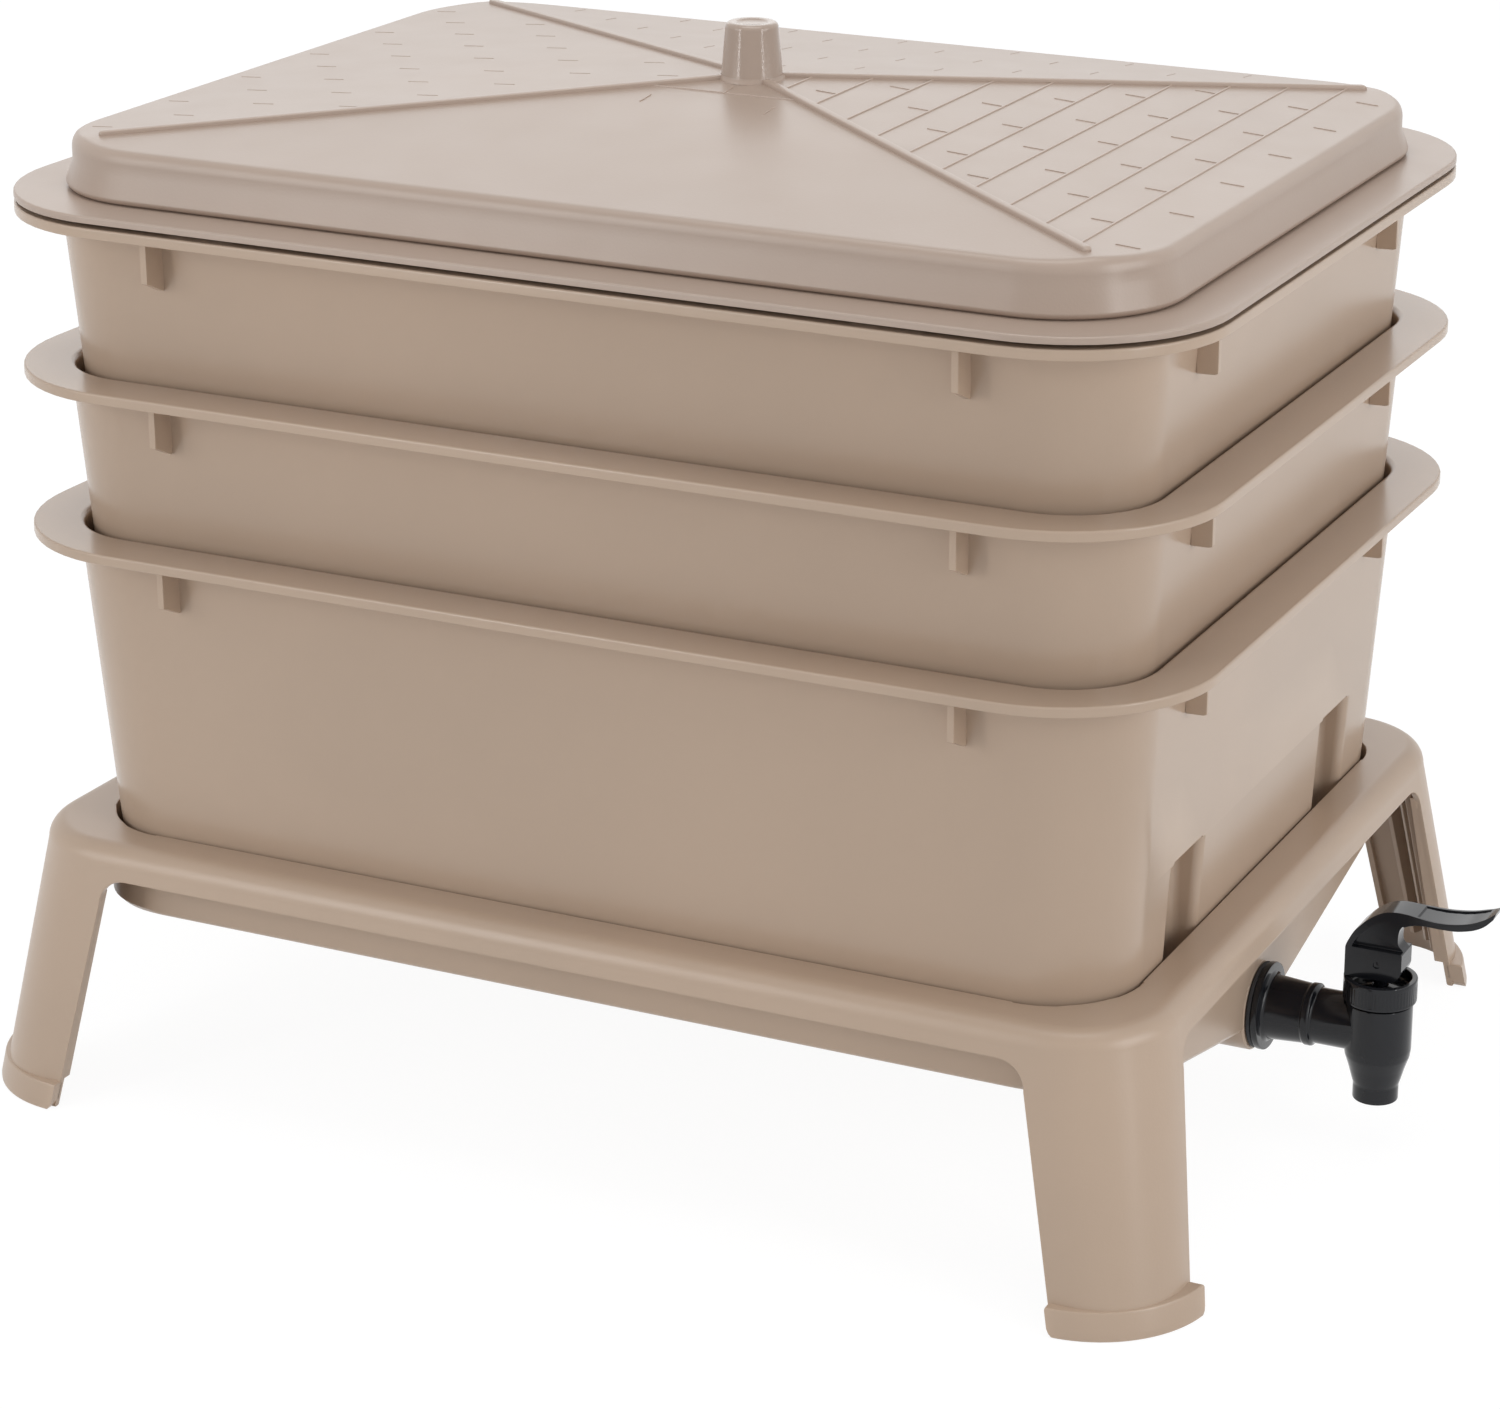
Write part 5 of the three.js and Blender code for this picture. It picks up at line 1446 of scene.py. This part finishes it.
class WORMERY_OT_tap_fixings(bpy.types.Operator):
    """Builds the two rubber gaskets and the hexagon lock nut that hold the tap in the sump's wall"""
    bl_idname = "wormery.tap_fixings"
    bl_label = "Tap gaskets and nut"

    def execute(self, context):
        settings = context.scene.wormery
        bore = settings.tap.thread + settings.tap.gap
        for node, softness in GASKET_ROUNDINGS.items():
            low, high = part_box(node)
            radius, thickness = (high[1] - low[1]) / 2, high[0] - low[0]
            profile = soften([(bore, thickness / 2), (bore, 0), (radius, 0), (radius, thickness), (bore, thickness),
                              (bore, thickness / 2)], softness, 3)
            piece = turned_piece("rubber_" + node, profile, along_tap(settings, low[0]))
            dress(piece, finish_named("Black gasket rubber"), "stand", node)
        low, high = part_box("tap_lock_nut")
        depth = high[0] - low[0]
        size = max((high[1] - low[1]) / 2, (high[2] - low[2]) / 2)
        place = along_tap(settings, low[0])
        turns = [pi / 3 * step for step in range(6)]
        rows = [[Vector((part * size * cos(a), part * size * sin(a), height)) for a in turns]
                for part, height in ((NUT_CHAMFER_SHARE, 0.0), (1.0, NUT_CHAMFER), (1.0, depth - NUT_CHAMFER),
                                     (NUT_CHAMFER_SHARE, depth))]
        bm = bmesh.new()
        closed_loft(bm, rows)
        bmesh.ops.transform(bm, matrix=place, verts=bm.verts)
        piece = new_object(bm, "moulded_tap_lock_nut")
        low_end, high_end = -THREAD_INSET, depth + THREAD_INSET
        thread = thread_profile(low_end, high_end, bore + THREAD_DEPTH, settings.tap.thread_pitch)
        drill = turned_piece("nut thread", [(0, low_end)] + thread + [(0, high_end)], place, NUT_STEPS)
        combined(piece, drill, "DIFFERENCE")
        dress(piece, finish_named("Black tap plastic"), "stand", "tap_lock_nut")
        return {"FINISHED"}


class WORMERY_OT_tap_bonnet(bpy.types.Operator):
    """Builds the ribbed bonnet ring that screws onto the tap's collar"""
    bl_idname = "wormery.tap_bonnet"
    bl_label = "Tap bonnet"

    def execute(self, context):
        tap = context.scene.wormery.tap
        low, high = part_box("tap_bonnet")
        base, top = low[2], high[2]
        axis_x, outer = (low[0] + high[0]) / 2, (high[1] - low[1]) / 2
        inner, hole = outer - tap.bonnet_wall, tap.stem + tap.gap
        plate_low = base + tap.collar_height
        plate_high = plate_low + tap.bonnet_plate
        plate_rim = plate_high - tap.bonnet_dome
        around = tap.grips * len(GRIP_DIPS)

        def row(radius, height, grip=0.0):
            reaches = [radius - grip * GRIP_DIPS[step % len(GRIP_DIPS)] for step in range(around)]
            return [Vector((axis_x + reach * cos(2 * pi * step / around), reach * sin(2 * pi * step / around), height))
                    for step, reach in enumerate(reaches)]
        soft, grip = BONNET_ROUNDING, tap.grip_depth
        slight = 0.3 * soft
        low_plain, low_grip, high_grip, high_plain = BONNET_BANDS
        rows = [row(*place) for place in (
            (inner, base), (outer - soft, base), (outer - slight, base + slight), (outer, base + soft),
            (outer, base + low_plain), (outer, base + low_grip, grip), (outer, top - high_grip, grip),
            (outer, top - high_plain), (outer, top - soft), (outer - slight, top - slight), (outer - soft, top),
            (inner + soft, top), (inner + slight, top - slight), (inner, top - soft), (inner, plate_rim + soft),
            (inner - soft, plate_rim), (hole + soft, plate_high), (hole, plate_high - soft), (hole, plate_low),
            (inner, plate_low), (inner, base))]
        bm = bmesh.new()
        loft(bm, rows)
        piece = new_object(bm, "moulded_tap_bonnet")
        dress(piece, finish_named("Black tap plastic"), "stand", "tap_bonnet", sharp=40)
        return {"FINISHED"}


class WORMERY_OT_tap_valve(bpy.types.Operator):
    """Builds the stem with its eye, the pin through it and the silicone cup that closes the seat"""
    bl_idname = "wormery.tap_valve"
    bl_label = "Tap stem, pin and cup"

    def execute(self, context):
        tap = context.scene.wormery.tap
        foot, axis_x, pin_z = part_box("tap_stem")[0][2], middle_of("tap_stem")[0], middle_of("tap_lever_pin")[2]
        on_axis, across = Matrix.Translation((axis_x, 0.0, 0.0)), crosswise(axis_x, pin_z)

        stem = turned_piece("moulded_tap_stem", soften(rod(tap.stem, foot, pin_z), ROD_ROUNDING), on_axis, ROD_STEPS)
        width = tap.head_width / 2
        eye = turned_piece("stem eye", soften(rod(tap.head, -width, width), EYE_ROUNDING), across, EYE_STEPS)
        combined(stem, eye, "UNION")
        bore = turned_piece("stem bore", rod(tap.pin + tap.gap, -2 * width, 2 * width), across, PIN_STEPS)
        combined(stem, bore, "DIFFERENCE")
        dress(stem, finish_named("Black tap plastic"), "tap_stem", "tap_stem")

        low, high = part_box("tap_lever_pin")
        reach = (high[1] - low[1]) / 2
        profile = soften(rod(tap.pin, -reach, reach), PIN_ROUNDING)
        pin = turned_piece("moulded_tap_lever_pin", profile, across, PIN_STEPS)
        dress(pin, finish_named("Black tap plastic"), "tap_lever", "tap_lever_pin")

        low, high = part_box("tap_valve_cup")
        foot, head, radius = low[2], high[2], (high[0] - low[0]) / 2
        socket, floor_z = tap.stem + tap.gap, head - CUP_SOCKET_DEPTH
        flare, rise = CUP_FLARE
        profile = soften([(0, foot), (tap.seat_bore, foot), (radius - flare, foot + rise),
                          *((radius - inward, head - down) for inward, down in CUP_LIP),
                          *((socket + outward, head - down) for outward, down in CUP_THROAT),
                          (socket, floor_z), (0, floor_z)], ROD_ROUNDING)
        cup = turned_piece("silicone_tap_valve_cup", profile, on_axis, EYE_STEPS)
        dress(cup, finish_named("Milky silicone"), "tap_stem", "tap_valve_cup")
        return {"FINISHED"}


# The lever's side outline as shares of its reach along and of its height up: over the heel, along the
# paddle's top to its tip, back along its underside, down the neck's throat and round the block's nose
LEVER_HEEL = ((-0.276, 0.000),)
LEVER_TOP = ((-0.276, 0.316), (-0.262, 0.372), (-0.208, 0.500), (-0.159, 0.573), (-0.095, 0.654), (-0.014, 0.727),
             (0.045, 0.763), (0.106, 0.783), (0.175, 0.790), (0.250, 0.787), (0.335, 0.779), (0.419, 0.772),
             (0.495, 0.770), (0.569, 0.774), (0.655, 0.787), (0.742, 0.809), (0.825, 0.842), (0.904, 0.884),
             (0.970, 0.935))
LEVER_UNDER = ((0.952, 0.868), (0.894, 0.801), (0.830, 0.762), (0.762, 0.736), (0.675, 0.715), (0.587, 0.708),
               (0.498, 0.706), (0.420, 0.704), (0.348, 0.694), (0.270, 0.668), (0.206, 0.628), (0.176, 0.590),
               (0.160, 0.540), (0.154, 0.460), (0.161, 0.395), (0.190, 0.355))
LEVER_NOSE = ((0.213, 0.320), (0.213, 0.135), (0.202, 0.090), (0.175, 0.035), (0.132, 0.000))
LEVER_RECESS = ((-0.222, 0.330), (0.300, 0.330), (0.300, 0.640), (0.170, 0.645), (0.080, 0.670), (0.000, 0.640),
                (-0.060, 0.590), (-0.115, 0.525), (-0.170, 0.445), (-0.205, 0.385))
LEVER_DISH = ((0.300, 0.800), (0.340, 0.766), (0.420, 0.757), (0.500, 0.755), (0.570, 0.759), (0.660, 0.772),
              (0.745, 0.795), (0.830, 0.830), (0.885, 0.862), (0.890, 1.100), (0.300, 1.100))
CHEEK_ROUNDING = 0.0005
# Room round the stem's eye inside the lever: to each side, above, and along, and how far the slot runs out below
SLOT_SIDE, SLOT_TOP, SLOT_ALONG, SLOT_OVERRUN = 0.001, 0.001, 0.0023, 0.001
DISH_RIM = 0.0026
# The paddle as shares of the lever's reach: where its leaf starts, how long it is, and where and how fast it narrows
LEAF_START, LEAF_LENGTH, TIP_START, TIP_LENGTH = 0.25, 0.72, 0.8, 0.17
PIN_FIT = 0.00003


class WORMERY_OT_tap_lever(bpy.types.Operator):
    """Builds the push lever: a slotted block with recessed cheeks, a hooked neck and a dished paddle"""
    bl_idname = "wormery.tap_lever"
    bl_label = "Tap lever"

    def execute(self, context):
        tap = context.scene.wormery.tap
        low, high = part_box("tap_lever")
        axis_x, pin_z = middle_of("tap_stem")[0], middle_of("tap_lever_pin")[2]
        foot, width = low[2], high[1] - low[1]

        def at(shares):
            return [(axis_x + u * tap.lever_reach, foot + v * tap.lever_height) for u, v in shares]
        outline = at(LEVER_HEEL) + flowing(at(LEVER_TOP)) + flowing(at(LEVER_UNDER)) + at(LEVER_NOSE)
        lever = plate_piece("moulded_tap_lever", outline, width, tap.edge)

        slot_foot, slot_top = foot - SLOT_OVERRUN, pin_z + tap.head + SLOT_TOP
        near, far = axis_x - tap.head - SLOT_ALONG, axis_x + tap.head + SLOT_ALONG
        slot = [(near, slot_foot), (far, slot_foot), (far, slot_top), (near, slot_top)]
        combined(lever, plate_piece("lever slot", slot, tap.head_width + SLOT_SIDE), "DIFFERENCE")
        for side in (-1, 1):
            place = Matrix.Translation((0, side * width / 2, 0))
            recess = plate_piece("cheek recess", at(LEVER_RECESS), 2 * tap.cheek, CHEEK_ROUNDING, place)
            combined(lever, recess, "DIFFERENCE")
        combined(lever, plate_piece("paddle dish", at(LEVER_DISH), width - DISH_RIM), "DIFFERENCE")

        bm = opened(lever)
        for vert in bm.verts:
            along = (vert.co.x - axis_x) / tap.lever_reach
            if along > LEAF_START:
                spread = tap.leaf * sin(pi * (along - LEAF_START) / LEAF_LENGTH)
                vert.co.y *= 1 + spread - tap.leaf_tip * max(0.0, (along - TIP_START) / TIP_LENGTH) ** 2
        stored(bm, lever)

        bore = turned_piece("pin bore", rod(tap.pin + PIN_FIT, -width, width), crosswise(axis_x, pin_z), PIN_STEPS)
        combined(lever, bore, "DIFFERENCE")
        dress(lever, finish_named("Black tap plastic"), "tap_lever", "tap_lever", sharp=28)
        return {"FINISHED"}


# Stage

FLOOR_SIZE, FLOOR_DROP = 9.0, 0.0002
FLOOR_SURFACE = {"Roughness": 0.9, "Specular IOR Level": 0.1}
FLOOR_GLOW, FLOOR_GLOW_SHARE = 1.08, 0.86
SKY_COLOUR = (0.97, 0.98, 1.0, 1.0)
# Name, place, size and strength's setting of every lamp
LAMPS = (
    ("Front left lamp", (-1.5, -1.8, 0.9), (1.2, 1.0), "key"),
    ("Front strip", (-0.86, -1.69, 0.62), (0.18, 1.2), "strip"),
    ("Right strip", (1.77, -0.68, 0.62), (0.18, 1.2), "strip"),
    ("Tap side lamp", (2.3, -0.1, 1.0), (1.3, 1.1), "fill"),
    ("Back lamp", (-1.3, 2.4, 1.7), (2.4, 2.0), "back"),
    ("Overhead lamp", (0.0, -0.2, 2.3), (1.6, 1.2), "top"),
)
LAMP_TARGET = (0.0, 0.0, 0.2)
CAMERA_PLACE = (0.7383, -1.5417, 0.7936)
CAMERA_TURN = (71.3084, -0.5538, 24.2096)
CAMERA_SHIFT = (-0.1176, -0.0834)
FILM_WIDTH, VIEW_LIMIT = 36.0, 50.0


def add_lamp(scene, name, place, size, power):
    light = bpy.data.lights.new(name, "AREA")
    light.shape, light.energy = "RECTANGLE", power
    light.size, light.size_y = size
    lamp = bpy.data.objects.new(name, light)
    lamp.location = place
    aim = Vector(LAMP_TARGET) - Vector(place)
    lamp.rotation_euler = aim.to_track_quat("-Z", "Y").to_euler()
    scene.collection.objects.link(lamp)


def seen_directly(tree):
    """One where a ray comes from the camera, a mirror-like surface or through glass, and nought elsewhere."""
    path = add_node(tree, "LightPath")
    seen = path.outputs["Is Camera Ray"]
    for kind in ("Is Glossy Ray", "Is Transmission Ray"):
        seen = add_node(tree, "Math", wires={0: seen, 1: path.outputs[kind]}, operation="MAXIMUM").outputs["Value"]
    return seen


def mixed(tree, factor, plain, direct, output):
    """Shows one surface where the factor is nought and the other where it is one."""
    mix = add_node(tree, "MixShader", wires={"Fac": factor, 1: plain, 2: direct})
    set_up(tree, tree.nodes[output], wires={"Surface": mix.outputs["Shader"]})


def floor_finish(tone):
    """A pale floor that reads almost white from the camera and still takes the shadow."""
    material, tree, shader = new_material("Pale floor")
    set_up(tree, shader, {"Base Color": tone, **FLOOR_SURFACE})
    glow = add_node(tree, "Emission", {"Color": WHITE, "Strength": FLOOR_GLOW})
    part = add_node(tree, "Math", {1: FLOOR_GLOW_SHARE}, {0: seen_directly(tree)}, operation="MULTIPLY")
    mixed(tree, part.outputs["Value"], shader.outputs["BSDF"], glow.outputs["Emission"], "Material Output")
    return material


def light_sky(scene, strength):
    """Even pale light all round, and plain white where it is seen directly."""
    world = bpy.data.worlds.new("Studio")
    scene.world = world
    world.use_nodes = True
    tree = world.node_tree
    light = set_up(tree, tree.nodes["Background"], {"Color": SKY_COLOUR, "Strength": strength})
    backdrop = add_node(tree, "Background", {"Color": WHITE, "Strength": 1.0})
    mixed(tree, seen_directly(tree), light.outputs["Background"], backdrop.outputs["Background"], "World Output")


class WORMERY_OT_stage(bpy.types.Operator):
    """Sets up the pale floor, the soft studio light and the camera"""
    bl_idname = "wormery.stage"
    bl_label = "Stage"

    def execute(self, context):
        scene = context.scene
        stage = scene.wormery.stage
        bm = bmesh.new()
        bmesh.ops.create_grid(bm, x_segments=1, y_segments=1, size=FLOOR_SIZE)
        bmesh.ops.translate(bm, vec=(0, 0, -FLOOR_DROP), verts=bm.verts)
        ground = stored(bm, bpy.data.objects.new("floor", bpy.data.meshes.new("floor")))
        scene.collection.objects.link(ground)
        ground.data.materials.append(floor_finish(scene.wormery.finish.floor))
        for name, place, size, strength in LAMPS:
            add_lamp(scene, name, place, size, getattr(stage, strength))
        light_sky(scene, stage.sky)

        camera = bpy.data.cameras.new("Camera")
        camera.lens, camera.sensor_width, camera.sensor_fit = stage.lens, FILM_WIDTH, "HORIZONTAL"
        camera.shift_x, camera.shift_y = CAMERA_SHIFT
        camera.clip_end = VIEW_LIMIT
        eye = bpy.data.objects.new("Camera", camera)
        eye.location = CAMERA_PLACE
        eye.rotation_euler = [radians(angle) for angle in CAMERA_TURN]
        scene.collection.objects.link(eye)
        scene.camera = eye
        scene.view_settings.view_transform = "Standard"
        return {"FINISHED"}


PIECE_OPERATORS = (WORMERY_OT_trays, WORMERY_OT_stand, WORMERY_OT_lid, WORMERY_OT_tap_body, WORMERY_OT_tap_fixings,
                   WORMERY_OT_tap_bonnet, WORMERY_OT_tap_valve, WORMERY_OT_tap_lever, WORMERY_OT_stage)


class WORMERY_PT_panel(bpy.types.Panel):
    """Lists the wormery's pieces and its settings"""
    bl_idname = "WORMERY_PT_panel"
    bl_label = "Stacking Wormery"
    bl_space_type = "VIEW_3D"
    bl_region_type = "UI"
    bl_category = "Wormery"

    def draw(self, context):
        column = self.layout.column(align=True)
        for operator in PIECE_OPERATORS:
            column.operator(operator.bl_idname)
        settings = context.scene.wormery
        for group in (settings.rim, settings.tray, settings.stand, settings.lid, settings.tap, settings.finish,
                      settings.stage):
            box = self.layout.box()
            for name in group.__annotations__:
                box.prop(group, name)


CLASSES = (WormeryRimSettings, WormeryTraySettings, WormeryStandSettings, WormeryLidSettings, WormeryTapSettings,
           WormeryFinishSettings, WormeryStageSettings, WormerySettings, *PIECE_OPERATORS, WORMERY_PT_panel)


def register():
    for item in CLASSES:
        bpy.utils.register_class(item)
    bpy.types.Scene.wormery = PointerProperty(type=WormerySettings)


def unregister():
    del bpy.types.Scene.wormery
    for item in reversed(CLASSES):
        bpy.utils.unregister_class(item)


def main():
    register()
    bpy.ops.wormery.stage()
    bpy.ops.wormery.trays()
    bpy.ops.wormery.stand()
    bpy.ops.wormery.lid()
    bpy.ops.wormery.tap_body()
    bpy.ops.wormery.tap_fixings()
    bpy.ops.wormery.tap_bonnet()
    bpy.ops.wormery.tap_valve()
    bpy.ops.wormery.tap_lever()


if __name__ == "__main__":
    main()
